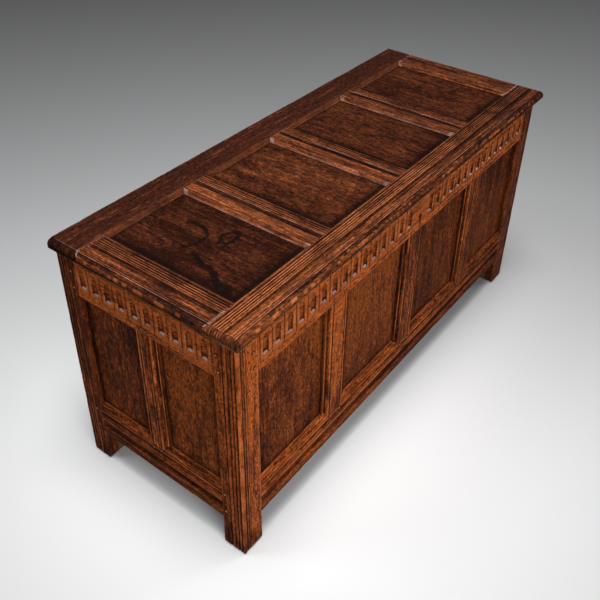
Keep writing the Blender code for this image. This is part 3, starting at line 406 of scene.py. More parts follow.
class Graph:
    """A material's node tree, with short ways to add nodes and links."""

    def __init__(self, name):
        self.material = bpy.data.materials.new(name)
        self.material.use_nodes = True
        self.tree = self.material.node_tree
        self.shader = self.tree.nodes["Principled BSDF"]

    def add(self, kind, inputs=None, **settings):
        node = self.tree.nodes.new(kind)
        for key, value in settings.items():
            setattr(node, key, value)
        for key, value in (inputs or {}).items():
            self.feed(node.inputs[key], value)
        return node

    def feed(self, socket, value):
        if isinstance(value, bpy.types.NodeSocket):
            self.tree.links.new(value, socket)
        else:
            socket.default_value = value

    def surface(self, key, value):
        self.feed(self.shader.inputs[key], value)

    def attribute(self, name, output="Fac"):
        return self.add("ShaderNodeAttribute", attribute_name=name).outputs[output]

    def math(self, operation, *values, clamp=False):
        inputs = dict(enumerate(values))
        return self.add("ShaderNodeMath", inputs, operation=operation, use_clamp=clamp).outputs[0]

    def times(self, first, second, clamp=False):
        return self.math("MULTIPLY", first, second, clamp=clamp)

    def times_plus(self, first, second, added, clamp=False):
        return self.math("MULTIPLY_ADD", first, second, added, clamp=clamp)

    def centred(self, value, weight, added):
        """A noise about its middle, weighted and added to a value."""
        return self.times_plus(self.math("SUBTRACT", value, 0.5), weight, added)

    def ramp(self, value, low, high, to_low=0.0, to_high=1.0):
        node = self.add("ShaderNodeMapRange", {
            "Value": value, "From Min": low, "From Max": high, "To Min": to_low, "To Max": to_high,
        }, interpolation_type="SMOOTHSTEP")
        return node.outputs["Result"]

    def noise(self, vector, scale, detail=4.0, rough=0.55, distortion=0.0):
        scaled = self.add("ShaderNodeMapping", {"Vector": vector, "Scale": scale}).outputs[0]
        node = self.add("ShaderNodeTexNoise", {
            "Vector": scaled, "Scale": 1.0, "Detail": detail, "Roughness": rough, "Distortion": distortion,
        })
        return node.outputs["Fac"]

    def mix(self, factor, first, second, blend="MIX"):
        """A blend of two colours, which are the node's sockets 6 and 7, with the result at 2."""
        first, second = ((*c, 1.0) if isinstance(c, tuple) else c for c in (first, second))
        inputs = {0: factor, 6: first, 7: second}
        return self.add("ShaderNodeMix", inputs, data_type="RGBA", blend_type=blend).outputs[2]

    def bump(self, height, strength, distance):
        inputs = {"Height": height, "Strength": strength, "Distance": distance}
        return self.add("ShaderNodeBump", inputs).outputs[0]


def oak(name, dark, mid, light, weights, roughness):
    """Waxed oak: growth rings, streaks, pores, stains, soiling and painted shade in the hollows, worn edges
    with painted highlights, and painted glints on the brightest edges.

    The first number of each noise's scale runs along the grain.
    """
    g = Graph(name)
    grain = g.attribute("grain", "Vector")
    grime_and_shade, wear_and_highlight, back, tone_and_light, stain, edge = (
        g.attribute(key) for key in ("grime_and_shade", "wear_and_highlight", "back", "tone_and_light", "stain", "edge")
    )
    contour = g.noise(grain, (0.9, 11.0, 9.0), 2.0, 0.45, 0.4)
    rings = g.math("SINE", g.times(contour, 75.0))
    streaks = g.noise(grain, (3.0, 70.0, 60.0), 5.0, 0.62, 0.3)
    fine = g.noise(grain, (11.0, 170.0, 170.0), 3.0, 0.6)
    flecks = g.noise(grain, (62.0, 125.0, 125.0), 3.0, 0.6, 0.6)
    pores = g.ramp(g.noise(grain, (90.0, 620.0, 620.0), 2.0, 0.5), 0.56, 0.68)
    mottle = g.noise(grain, (15.0, 26.0, 26.0), 5.0, 0.64, 0.8)
    cloud = g.noise(grain, (2.6, 6.0, 6.0), 3.0, 0.5, 0.8)
    specks = g.noise(grain, (110.0, 220.0, 220.0), 2.0, 0.6)

    figure = g.times(rings, 0.10)
    for part, weight in zip((streaks, fine, flecks, mottle, cloud), weights):
        figure = g.centred(part, weight, figure)
    # Each piece's lightness, partly its own colour and partly painted light and shade, sets its value and
    # contrast
    contrast = g.ramp(tone_and_light, -0.50, 0.0, 0.50, 1.0)
    value = g.times_plus(figure, contrast, g.math("ADD", tone_and_light, 0.56))
    colour = g.mix(g.ramp(value, 0.08, 0.55), dark, mid)
    colour = g.mix(g.ramp(value, 0.55, 1.05), colour, light)
    colour = g.mix(g.times(pores, 0.60), colour, tuple(0.4 * c for c in dark))
    colour = g.mix(g.ramp(specks, 0.55, 0.64, 0.0, 0.72), colour, SOOT_AND_SHADE)
    colour = g.mix(g.ramp(specks, 0.36, 0.46, 1.0, 0.0), colour, SPECK_GAIN, "MULTIPLY")
    spots = g.times(g.ramp(mottle, 0.60, 0.76), g.ramp(cloud, 0.45, 0.70))
    colour = g.mix(g.times(spots, 0.60), colour, SOOT_AND_SHADE)

    # Worn places and painted highlights lighten the wood, the brightest to a pale colour
    rubbed = g.times(wear_and_highlight, g.ramp(mottle, 0.34, 0.62, 0.15, 1.0), clamp=True)
    rubbed = g.times(rubbed, g.ramp(tone_and_light, -0.45, 0.0, 0.30, 1.0))
    colour = g.mix(g.times(rubbed, 0.70), colour, tuple(1.15 * c for c in light))
    colour = g.mix(g.ramp(rubbed, 0.62, 1.0, 0.0, 0.45), colour, WORN_AND_LIT_OAK)
    # Soiling and painted shade darken the wood towards near black
    soil_and_shade = g.times(grime_and_shade, g.ramp(streaks, 0.20, 0.62, 0.65, 1.0), clamp=True)
    colour = g.mix(g.times(soil_and_shade, 0.88), colour, SOOT_AND_SHADE)
    colour = g.mix(g.times(stain, g.ramp(flecks, 0.40, 0.70, 0.95, 0.70)), colour, SOOT_AND_SHADE)
    # Painted glints: a blue-white bloom over the brightest edges
    bloom_and_glint = g.times(g.math("POWER", edge, 2.0), g.ramp(mottle, 0.36, 0.58, 0.20, 0.62))
    colour = g.mix(bloom_and_glint, colour, WAX_BLOOM_AND_GLINT)
    colour = g.mix(back, colour, g.mix(g.ramp(value, 0.1, 0.9), DRY_DARK, DRY_LIGHT))
    g.surface("Base Color", colour)

    rough = g.centred(mottle, 0.30, g.centred(flecks, 0.35, roughness))
    rough = g.times_plus(soil_and_shade, 0.25, g.times_plus(edge, -0.18, rough))
    g.surface("Roughness", g.times_plus(back, 0.35, rough, clamp=True))
    sheen = g.times(edge, g.ramp(mottle, 0.34, 0.60, 0.3, 1.0))
    gloss = g.times(g.times_plus(sheen, 0.90, 0.008), g.math("SUBTRACT", 1.0, soil_and_shade))
    g.surface("Specular IOR Level", gloss)
    height = g.times_plus(pores, -0.55, g.times(flecks, 0.8))
    height = g.times_plus(mottle, 0.9, height)
    g.surface("Normal", g.bump(height, 0.6, 0.0012))
    return g.material


def iron(name):
    """Forged iron, dark and slightly rusted."""
    g = Graph(name)
    place = g.add("ShaderNodeTexCoord").outputs["Object"]
    patches = g.noise(place, (90.0, 90.0, 90.0), 5.0, 0.6)
    rust = g.ramp(patches, 0.48, 0.68)
    g.surface("Base Color", g.mix(rust, (0.030, 0.029, 0.030), (0.060, 0.026, 0.013)))
    g.surface("Metallic", g.ramp(rust, 0.0, 1.0, 0.85, 0.2))
    g.surface("Roughness", g.ramp(patches, 0.3, 0.7, 0.38, 0.75))
    g.surface("Normal", g.bump(patches, 0.5, 0.0006))
    return g.material


def board_wood(name):
    """Dry, unfinished oak of the bottom boards, grain across the coffer."""
    g = Graph(name)
    place = g.add("ShaderNodeTexCoord").outputs["Object"]
    streaks = g.noise(place, (44.0, 2.5, 44.0), 6.0, 0.6, 0.3)
    pores = g.ramp(g.noise(place, (800.0, 60.0, 800.0), 2.0), 0.58, 0.72)
    colour = g.mix(g.ramp(streaks, 0.3, 0.7), (0.070, 0.036, 0.017), (0.185, 0.105, 0.053))
    colour = g.mix(g.times(pores, 0.5), colour, (0.025, 0.012, 0.006))
    g.surface("Base Color", colour)
    g.surface("Roughness", g.ramp(streaks, 0.2, 0.8, 0.70, 0.90))
    g.surface("Normal", g.bump(streaks, 0.5, 0.0012))
    return g.material


FRAME_OAK = oak("oak_frame", (0.042, 0.0100, 0.0042), (0.170, 0.0390, 0.0100), (0.390, 0.092, 0.0180),
                (1.4, 3.2, 1.9, 0.7, 0.9), 0.42)
PANEL_OAK = oak("oak_panel", (0.030, 0.0067, 0.0025), (0.100, 0.0228, 0.0060), (0.215, 0.0530, 0.0110),
                (0.6, 1.1, 1.9, 1.2, 1.2), 0.46)
LID_OAK = oak("oak_lid", (0.042, 0.0120, 0.0068), (0.165, 0.0445, 0.0172), (0.400, 0.112, 0.0340),
              (1.3, 3.5, 0.9, 0.5, 0.8), 0.42)
LID_PANEL_OAK = oak("oak_lid_panel", (0.027, 0.0074, 0.0040), (0.082, 0.0220, 0.0090),
                    (0.190, 0.0540, 0.0170), (0.5, 0.8, 1.1, 1.6, 1.2), 0.46)
IRON = iron("forged_iron")
BOARD = board_wood("oak_boards")


# Places read from the frame, in millimetres

def box_mm(node):
    low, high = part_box(node)
    return np.array(low) / MM, np.array(high) / MM


def spread(node, direction):
    """Where a node begins and ends along a direction."""
    low, high = box_mm(node)
    return tuple(sorted((float(low @ direction), float(high @ direction))))


def nodes_of(group, kind):
    return [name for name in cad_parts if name.startswith(f"{group}_{kind}")]


# Each side seen from outside: its directions to the right and inwards, and its left and right stile
SIDES = {"front": (X, Y), "rear": (-X, -Y), "left": (-Y, X), "right": (Y, -X)}
CORNERS = {"front": ("front_left", "front_right"), "rear": ("rear_right", "rear_left"),
           "left": ("rear_left", "front_left"), "right": ("front_right", "rear_right")}
SILL = box_mm("front_bottom_rail")[1][2]
HEAD = box_mm("front_top_rail")[0][2]
LID_LOW, LID_HIGH = box_mm("lid_front_rail")
LID_THICKNESS = LID_HIGH[2] - LID_LOW[2]
REAR_LOW, REAR_HIGH = box_mm("lid_rear_rail")


# Lid

def thumb(u):
    """Depth of the lid's rounded outer edge at a distance from that edge."""
    ratio = unit(1.0 - np.asarray(u) / THUMB_WIDTH)
    depth = THUMB_FOOT - (THUMB_FOOT - THUMB_FILLET) * np.sqrt(1.0 - ratio ** 2)
    return np.where(np.asarray(u) < THUMB_WIDTH, depth, 0.0)


def thumb_face():
    round_edge = [(u, float(thumb(u))) for u in (0.0, 0.12, 0.5, 1.2, 2.2, 3.6, 5.4, 7.6, 9.6, 10.9)]
    return [(0.0, LID_THICKNESS), *round_edge, (THUMB_WIDTH + 0.05, 0.6), (THUMB_WIDTH + 0.8, 0.0)]


def lid_groove(edge, sign):
    """The panel groove in an edge of the lid's frame."""
    low, high = box_mm("lid_panel_1")
    return groove(edge, sign, LID_GROOVE_DEPTH, LID_HIGH[2] - high[2], LID_HIGH[2] - low[2])


def splay(width):
    return [(width - LID_SPLAY_WIDTH, 0.2), (width - LID_SPLAY_WIDTH + 0.8, 0.5), (width, LID_SPLAY_DROP)]


def border_lines(width):
    """Where the lip, the ridge and the run of reeds lie on a border of the lid."""
    lip = width - LID_SPLAY_WIDTH
    ridge = lip - RIDGE_TO_LIP
    return lip, ridge, (ridge + 2.0, lip - 4.8, BORDER_REEDS)


def border_outline(width):
    """Front rail or end stile: thumb edge, flat, hollow under a ridge, fine reeds, lip and splay."""
    lip, ridge, reed_run = border_lines(width)
    flat = [*scratch(15.0, 2.6, 1.5), *scratch(20.0, 2.2, 1.1)]
    steps = (0.0, 0.2, 0.4, 0.55, 0.7, 0.82, 0.92, 1.0)
    hollow = [(ridge - 20.0 + 16.5 * t, 4.6 * t ** 1.4) for t in steps]
    crest = [(ridge - 2.0, 3.8), (ridge - 0.9, 0.5), (ridge, 0.0), (ridge + 1.3, 0.2)]
    quirk = [(lip - 4.4, 0.3), (lip - 3.6, 2.6), (lip - 1.7, 2.6), (lip - 0.9, 0.1)]
    face = [*thumb_face(), *flat, *hollow, *crest, *reeds(*reed_run, REED_DEPTH), *quirk, *splay(width)]
    return [*face, *lid_groove(width, -1), (width, LID_THICKNESS)]


def rear_outline(width):
    face = [(0.0, LID_THICKNESS), *EASED, *scratch(width - 22.0, 2.4, 1.2), *splay(width)]
    return [*face, *lid_groove(width, -1), (width, LID_THICKNESS)]


def lid_muntin_outline(width):
    """A muntin of the lid: a splay and a quirk on each side, a crowned band, a hollow and a reeded band."""
    half = width / 2
    quirk = LID_SPLAY_WIDTH + 0.6
    start, end = quirk + 3.8, half - 7.5
    cut = [(quirk, 0.3), (quirk + 0.9, 2.9), (quirk + 2.8, 2.9), (start, 0.9)]
    edge = [*mirrored(splay(width), width), *cut]
    steps = (0.12, 0.28, 0.44, 0.6, 0.75, 0.88)
    crown = [(start + (end - start) * t, 0.9 * (2 * t - 1) ** 2) for t in steps]
    turns = np.radians((-90, -60, -35, -10, 15, 40, 62, 80))
    hollow = [(half + 7.5 * math.sin(a), 0.5 + 4.2 * math.cos(a)) for a in turns]
    crest = [(half + 8.0, 0.2), (half + 8.6, 0.0), (half + 9.8, 0.2)]
    lines = reeds(half + 10.4, width - quirk - 4.2, MUNTIN_REEDS, REED_DEPTH)
    face = [*edge, *crown, *hollow, *crest, *lines, *mirrored(edge, width)]
    return [(0.0, LID_THICKNESS), *lid_groove(0.0, 1)[::-1], *face, *lid_groove(width, -1),
            (width, LID_THICKNESS)]


def worn_thumb(u, d, v):
    """Dents and torn grain along the lid's rounded edge."""
    shallow = 1.2 * unit(noise(v / 5.0, u / 5.0, d / 5.0, 11) - 0.05)
    deep = 3.0 * unit(noise(v / 25.0, u / 10.0, d / 10.0, 23) - 0.40)
    return np.where((u < THUMB_WIDTH + 2.0) & (d < THUMB_FOOT), shallow + deep, 0.0)


def thumb_dirt(along, across, d):
    """Patchy dirt on the lid's rounded edge."""
    return -0.72 - 0.45 * noise(along / 6.0, across / 4.0, d / 4.0, 17)


def rubbed_reeds(u, start, end, count):
    """Painted light on a run of reeds: ridges worn and lit as painted highlights, grooves black as painted
    shade.
    """
    off = np.abs((u - start) / (end - start) * count % 1.0 - 0.5)
    lines = np.where(off < 0.22, 0.50, np.where(off > 0.30, -0.9, 0.0))
    return np.where(between(u, start, end), lines, 0.0)


def rubbed_border(width, length, u, d, v):
    """A border of the lid: a broken bright rim, worn and lit as a painted highlight and dark below its round,
    a dirty thumb, painted shade in the hollow, lit ridges and reeds, a lit fillet and, on a stile, painted
    highlights on the joint lines and end facets.
    """
    ridge, reed_run = border_lines(width)[1:]
    # The rim: a broken painted highlight
    rim = np.where(noise(v / 8.0, seed=29) > 0.3, 0.45, -0.6)
    # Painted shade in the hollow and a painted highlight on the ridge
    rubbing = bands(u, (ridge - 18.0, ridge - 1.5, -0.45), (ridge - 0.9, ridge + 1.3, 0.5))
    rubbing = rubbing + rubbed_reeds(u, *reed_run)
    rubbing = np.where(u < RIM_WIDTH, np.where(d < THUMB_FOOT, rim, -0.7), rubbing)
    rubbing = np.where((u >= RIM_WIDTH) & (u < THUMB_WIDTH + 1.0), thumb_dirt(v, u, d), rubbing)
    # A painted highlight along the fillet, broken in places
    fillet = np.where(noise(v / 22.0, seed=31) > -0.1, 0.76, 0.30)
    rubbing = np.where(between(u, FILLET_START, FILLET_END), fillet, rubbing)
    if length is None:
        return rubbing
    from_end = np.minimum(v, length - v)
    # Painted highlights on the joint lines and on the splay's facets at the ends
    joint = (from_end < 1.6) & (noise(u / 5.0, v / 40.0, seed=3) > -0.2) & (d < 6.0)
    rubbing = np.where(joint, 0.9, rubbing)
    slant = width - u < LID_SPLAY_WIDTH * (1.0 - from_end / 12.0)
    return np.where((from_end < 10.0) & slant & (d < LID_SPLAY_FOOT), 0.78, rubbing)


def rubbed_ends(length, along, u, d, v):
    """A lid rail painted as along says, with the dirty thumb and its lit fillet, a painted highlight, across
    both ends.
    """
    from_end = np.minimum(v, length - v)
    rubbing = along(u, d, v)
    rubbing = np.where(from_end < FILLET_START, np.minimum(rubbing, thumb_dirt(u, v, d)), rubbing)
    # The fillet lit across the ends, a painted highlight
    fillet = between(from_end, FILLET_START, FILLET_END) & (d < THUMB_FILLET)
    return np.where(fillet & (u > THUMB_WIDTH), 0.70, rubbing)


def rubbed_muntin(length, width, u, d, v):
    """A muntin of the lid: a painted grey sheen on its left splay, painted highlights at the ends of both
    splays and on the crest, and painted shade in the hollow.
    """
    half = width / 2
    from_end = np.minimum(v, length - v)
    # Painted shade in the hollow, a painted highlight on the crest, the crown a little lighter
    rubbing = bands(u, (half - 6.0, half + 7.0, -0.45), (half + 8.0, half + 9.8, 0.75),
                    (20.0, half - 11.0, 0.16))
    # A painted grey sheen on the lower part of the left splay, painted highlights at its ends
    sheen = np.where(d > 0.60 * LID_SPLAY_DROP, 0.66, 0.05) + 0.08 * noise(v / 30.0, u / 8.0, seed=4)
    near_splay = (u < LID_SPLAY_WIDTH) & (d < LID_SPLAY_FOOT)
    rubbing = np.where(near_splay, np.where(from_end < 10.0, 0.78, sheen), rubbing)
    far_splay = (width - u < LID_SPLAY_WIDTH) & (d < LID_SPLAY_FOOT)
    return np.where(far_splay & (from_end < 8.0), 0.72, rubbing)


def rubbed_rear(u, d, v):
    """The rear rail of the lid, its splay given a painted highlight."""
    return bands(d, (0.45, LID_SPLAY_FOOT, 0.35)) * (u > THUMB_WIDTH)


def on_top(u, d):
    return d < LID_THICKNESS - LID_UNDERSIDE


def rail_trim(length, u, d, v):
    """The thumb worked over the end grain of a lid rail."""
    return u, np.maximum(d, thumb(np.minimum(v, length - v))), v


def scribed(length, start_width, end_width, drop, u, d, v):
    """Ends that run out over the splays of the rails they meet."""
    over = 1.0 - unit(d / drop)
    v = np.where(v < SCRIBE_REACH, v - start_width * over * (1 - v / SCRIBE_REACH), v)
    rest = length - v
    longer = v + end_width * over * (1 - np.clip(rest, 0, SCRIBE_REACH) / SCRIBE_REACH)
    return u, d, np.where(rest < SCRIBE_REACH, longer, v)


def end_stations(length):
    """Stations close together over the rounds at both ends of a lid rail."""
    ends = np.array((0.0, 0.15, 0.6, 1.3, 2.3, 3.7, 5.4, 7.6, 9.6, 10.9, 11.05, 12.0))
    inner = np.arange(16.0, length - 16.0, STATION)
    return np.concatenate((ends, inner, length - ends[::-1]))


def lid_wood(node, x, y, across, along, outline, stations, **finish):
    """A rail, stile or muntin of the lid, from the upper corner at x and y."""
    place = (np.array((x, y, LID_HIGH[2])) * MM, across, -Z, along)
    member(node, "lid", place, refined(outline, on_top, HIDDEN_STEP), stations, LID_OAK, **finish)


def build_lid():
    length = LID_HIGH[0] - LID_LOW[0]
    stations = end_stations(length)
    trim = partial(rail_trim, length)
    width = LID_HIGH[1] - LID_LOW[1]
    rub = partial(rubbed_ends, length, partial(rubbed_border, width, None))
    lid_wood("lid_front_rail", LID_LOW[0], LID_LOW[1], Y, X, border_outline(width), stations,
             carve=worn_thumb, trim=trim, rub=rub)
    width = REAR_HIGH[1] - REAR_LOW[1]
    lid_wood("lid_rear_rail", LID_LOW[0], REAR_HIGH[1], -Y, X, rear_outline(width), stations, trim=trim,
             rub=partial(rubbed_ends, length, rubbed_rear))

    start = LID_HIGH[1]
    span = REAR_LOW[1] - start
    scribe = partial(scribed, span, LID_SPLAY_WIDTH, LID_SPLAY_WIDTH, LID_SPLAY_DROP)
    for node, end, across in (("lid_left_stile", 0, X), ("lid_right_stile", 1, -X)):
        box = box_mm(node)
        width = box[1][0] - box[0][0]
        lid_wood(node, box[end][0], start, across, Y, border_outline(width), stations_to(span),
                 carve=worn_thumb, trim=scribe, rub=partial(rubbed_border, width, span))
    for node in sorted(nodes_of("lid", "muntin")):
        low, high = box_mm(node)
        width = high[0] - low[0]
        lid_wood(node, low[0], start, X, Y, lid_muntin_outline(width), stations_to(span), trim=scribe,
                 rub=partial(rubbed_muntin, span, width))
    for node in sorted(nodes_of("lid", "panel")):
        low, high = box_mm(node)
        place = (np.array((low[0], low[1], high[2])) * MM, X, -Z, Y)
        panel(node, place, *(high - low), "lid", LID_GROOVE_DEPTH)


def panel(node, place, width, length, thickness, body, margin):
    """A riven panel, slightly uneven, with soiling and painted shade along the edges of its opening, reaching
    further in from the lid panels' front and left edges.
    """
    outline = refined([(0.0, 0.0), (width, 0.0), (width, thickness), (0.0, thickness)],
                      lambda u, d: d < FACE_SKIN, HIDDEN_STEP, PANEL_STEP)

    def carve(u, d, v):
        return 0.8 * (d < FACE_SKIN) * (1.0 + noise(v / 90.0, u / 30.0, 0.0, seed_of(node))) / 2

    on_lid = body == "lid"
    mesh = member(node, body, place, outline, stations_to(length, PANEL_STEP),
                  LID_PANEL_OAK if on_lid else PANEL_OAK, "panel", carve=carve, nick=0.0, warp=0.0).data
    points = points_of(mesh) - place[0]
    u, v = points @ place[1] / MM, points @ place[3] / MM
    # Soiling and painted shade along the edges of the opening; on the lid it reaches further in from the
    # front and left edges
    near = np.minimum(u, v) - margin - (PANEL_SHADE if on_lid else 0.0)
    far = np.minimum(width - u, length - v) - margin
    soil_and_shade = np.maximum(0.7 * np.exp(-np.maximum(far, 0.0) / 7.0), np.exp(-np.maximum(near, 0.0) / 8.0))
    fill_layer(mesh, "grime_and_shade", soil_and_shade)
    if node == STAINED_PANEL:
        fill_layer(mesh, "stain", stain(u - width / 2, v - length / 2))


def stain(x, y):
    """Old dark marks: a hook, a small ring and a run below them, from the middle of the panel."""
    x = x + 4.5 * noise(x / 24.0, y / 24.0, 0.0, 41) + 1.5 * noise(x / 9.0, y / 9.0, 0.0, 42)
    y = y + 4.5 * noise(x / 24.0, y / 24.0, 0.0, 43) + 1.5 * noise(x / 9.0, y / 9.0, 0.0, 44)
    ragged = noise(x / 8.0, y / 8.0, 0.0, 5)
    angle = np.degrees(np.arctan2(y - HOOK_MIDDLE[1], x - HOOK_MIDDLE[0]))
    on_hook = np.abs(np.hypot(x - HOOK_MIDDLE[0], y - HOOK_MIDDLE[1]) - HOOK_RADIUS)
    hook = np.where(between(angle, -150.0, 40.0), on_hook / (3.0 + angle / 200.0), 9.0)
    ring = np.abs(np.hypot((x - RING_MIDDLE[0]) / 1.7, y - RING_MIDDLE[1]) - RING_RADIUS) / 2.6
    t = unit((RUN_TOP - y) / RUN_LENGTH)
    drift = RUN_START - RUN_DRIFT * t + 9.0 * noise(t * 4.0, seed=8)
    past_ends = np.maximum(y - RUN_TOP, 0.0) + np.maximum(RUN_TOP - RUN_LENGTH - y, 0.0)
    run = np.hypot(x - drift, past_ends) / (3.6 + 3.4 * t)
    distance = np.minimum(np.minimum(hook, ring), run) + 0.35 * ragged
    return unit(2.2 - distance)


# Carcass

def corner_at(along, run, inwards, depth, level):
    return MM * (along * run + inwards * depth + Z * level)


def opening(side):
    """The two stile edges between which a side's rails and panels run."""
    right = SIDES[side][0]
    first, last = CORNERS[side]
    return spread(f"stile_{first}", right)[1], spread(f"stile_{last}", right)[0]


def flute_places(side):
    """Middles of the flutes, from the left end of the rail."""
    left, right = opening(side)
    length = right - left
    if side != "front":
        steps = math.floor((length - 2 * FLUTE_SIDE_MARGIN) / FLUTE_SIDE_PITCH)
        first = (length - steps * FLUTE_SIDE_PITCH) / 2
        return [first + i * FLUTE_SIDE_PITCH for i in range(steps + 1)]
    reach = length / 2 - FLUTE_INSET - KEYHOLE_CLEARANCE
    left_run, right_run = (
        [FLUTE_INSET + i * pitch for i in range(math.floor(reach / pitch) + 1)]
        for pitch in (FLUTE_LEFT_PITCH, FLUTE_RIGHT_PITCH)
    )
    return left_run + [length - place for place in right_run[::-1]]


def vein_places(flutes):
    """Middles of the cut lines: outside the end flutes and between the others, but not at the keyhole."""
    gaps = [b - a for a, b in zip(flutes, flutes[1:])]
    inner = [(a + b) / 2 for a, b in zip(flutes, flutes[1:]) if b - a < WIDE_GAP * min(gaps)]
    return [flutes[0] - min(gaps) / 2, *inner, flutes[-1] + min(gaps) / 2]


def flute_floor(off):
    """Level of the ledge at the foot of a flute, off in half widths from the flute's middle."""
    return FLUTE_RISE + FLUTE_LEDGE * np.sqrt(unit(1.0 - off ** 2))


def frieze(flutes, veins, seed, u, d, v):
    """How deep the carving of a top rail goes: stop flutes over a ledge, with cut lines between them."""
    depth = np.zeros_like(u)
    t = unit((u - FLUTE_RISE) / FLUTE_HEIGHT)
    reach = np.where(t < 0.5, 1.0, np.sqrt(unit(1.0 - ((t - 0.5) / 0.5) ** 2.2)))
    for i, place in enumerate(flutes):
        lean = 0.5 * noise(i * 1.3, seed=seed)
        off = (v - place - lean) / (FLUTE_WIDTH / 2)
        ratio = unit(1.0 - (off / np.maximum(reach, 1e-3)) ** 2)
        hollow = FLUTE_DEPTH * (1.0 - 0.8 * t) * ratio ** 0.42
        floor = flute_floor(off)
        hollow = np.minimum(hollow, FLUTE_DEPTH * unit((u - floor) / FLUTE_SHELF))
        inside = (np.abs(off) < reach) & (u > floor)
        depth = np.where(inside, np.maximum(depth, hollow), depth)
    for i, place in enumerate(veins):
        bend = 0.8 * noise(u / 30.0, i * 2.7, seed=seed + 1)
        off = np.abs(v - place - bend) / (VEIN_WIDTH / 2)
        line = np.where(between(u, VEIN_LOW, VEIN_HIGH), VEIN_DEPTH * unit(1.0 - off), 0.0)
        punch = np.hypot(v - place + PUNCH_SHIFT, u - VEIN_HIGH) / PUNCH_RADIUS
        depth = np.maximum(np.maximum(depth, line), PUNCH_DEPTH * unit(1.0 - punch ** 2))
    return np.where(d < FACE_SKIN, depth, 0.0)


def rubbed_frieze(flutes, veins, u, d, v):
    """Worn, lit strips between slightly dirty flutes, the cut lines dark as painted shade, a painted shadow
    of the lid along the top, and a painted glint on the ledge at the foot of each flute.
    """
    carved, on_face = between(u, VEIN_LOW, VEIN_HIGH), d < FACE_SKIN
    # Over the carving, wear and painted light; above it, the painted shadow of the lid
    rubbing = np.where(carved, 0.55, -0.75 * unit((u - VEIN_HIGH) / 10.0)) * on_face
    for place in flutes:
        off = np.abs(v - place) / (FLUTE_WIDTH / 2)
        floor = flute_floor(off)
        inside = (off < 0.95) & between(u, floor, FLUTE_RISE + FLUTE_HEIGHT) & on_face
        # A painted glint on the ledge
        glint = (off < 0.78) & between(u, floor + 0.3, floor + 0.60 * FLUTE_SHELF)
        rubbing = np.where(inside, np.where(glint, 1.0, -0.05), rubbing)
    for place in veins:
        # Painted shade in the cut lines
        cut = (np.abs(v - place) < 0.7 * VEIN_WIDTH) & carved & on_face
        rubbing = np.where(cut, -0.50, rubbing)
    return rubbing


def rubbed_bottom_rail(height, u, d, v):
    """A bottom rail: darker towards the floor and in its hollows and quirk as painted shade, its ridges worn
    and lit as painted highlights, and its splay a little darker.
    """
    patchy = 0.8 + 0.4 * noise(v / 40.0, u / 9.0, seed=6)
    # Painted shade, darker towards the floor
    dirt_and_shade = -0.65 * unit(1.0 - u / 55.0) * patchy
    # Painted shade in the hollows and quirk, painted highlights on the ridges
    marks = bands(u, (29.0, 48.0, -0.50), (50.0, 54.5, 0.40), (65.0, 76.5, -0.40), (78.0, 84.5, 0.40),
                  (85.5, 88.0, -0.9), (height - SILL_SPLAY_HEIGHT + 2.0, height, -0.15))
    marks = np.where(marks > 0, marks, np.minimum(dirt_and_shade, marks))
    return np.where(d < SILL_SPLAY_DEPTH + FACE_SKIN, marks, dirt_and_shade)


def rubbed_side_muntin(width, u, d, v):
    """A moulded muntin in painted light and shade: dark quirk and hollow, bright bead and ridge, dark
    scratched line.
    """
    return bands(np.minimum(u, width - u), (0.0, 6.8, -0.85), (7.2, 9.4, 0.42), (9.9, 16.4, -0.50),
                 (16.8, 21.6, 0.50), (22.0, 25.4, -0.9))


def rubbed_stile(u, d, v):
    """A corner stile: painted highlights on its bead and ridges, painted shade in the grooves beside them,
    and painted shade over its end face and near the floor.
    """
    patchy = 0.8 + 0.4 * noise(v / 35.0, u / 9.0, d / 9.0, 9)
    # Painted shade near the floor
    low = -0.55 * unit(1.0 - v / 90.0) * patchy
    # Front face: painted highlight on the bead, painted shade in the grooves
    front = bands(u, (0.0, 9.7, 0.38), (10.2, 14.3, -0.95), (14.5, 18.3, -0.30), (18.4, 21.0, -0.9),
                  (24.4, 26.6, -0.8))
    front = np.where(front > 0, front + low, np.minimum(front, low))
    # End face: painted shade all over, with painted highlights on its ridges and darker grooves
    end = bands(d, (5.4, 9.8, -0.6), (10.4, 13.2, 0.5), (14.5, 18.8, -0.6), (25.0, 28.0, -0.3),
                (28.6, 33.0, 0.8), (36.4, 40.0, -0.6)) - 0.52 * patchy
    end = np.where(end > 0.1, end, np.minimum(end, low))
    return np.where((d > u) & (d > 4.8), end, front)


def frieze_stations(length, flutes, veins):
    """Stations close together over each flute and cut line."""
    across = np.array((0.0, 0.22, 0.44, 0.64, 0.80, 0.92, 0.985, 1.03)) * FLUTE_WIDTH / 2
    places = [0.0, SHOULDER, 2 * SHOULDER, length - 2 * SHOULDER, length - SHOULDER, length]
    for place in flutes:
        places += list(place + across) + list(place - across[1:])
    for place in veins:
        places += [place + off for off in (-2.6, -1.3, -0.6, 0.0, 0.6, 1.3, 2.6)]
    places += list(np.arange(6.0, length - 6.0, 7.0))
    places = np.array(sorted(p for p in places if 0.0 <= p <= length))
    keep = np.concatenate(([True], np.diff(places) > 0.25))
    return places[keep]


def panel_groove(side, edge, sign):
    """The groove for a side's panels in an edge."""
    inwards = SIDES[side][1]
    face = spread(f"{side}_top_rail", inwards)[0]
    near, far = spread(f"{side}_panel_1", inwards)
    return groove(edge, sign, GROOVE_DEPTH, near - face, far - face)


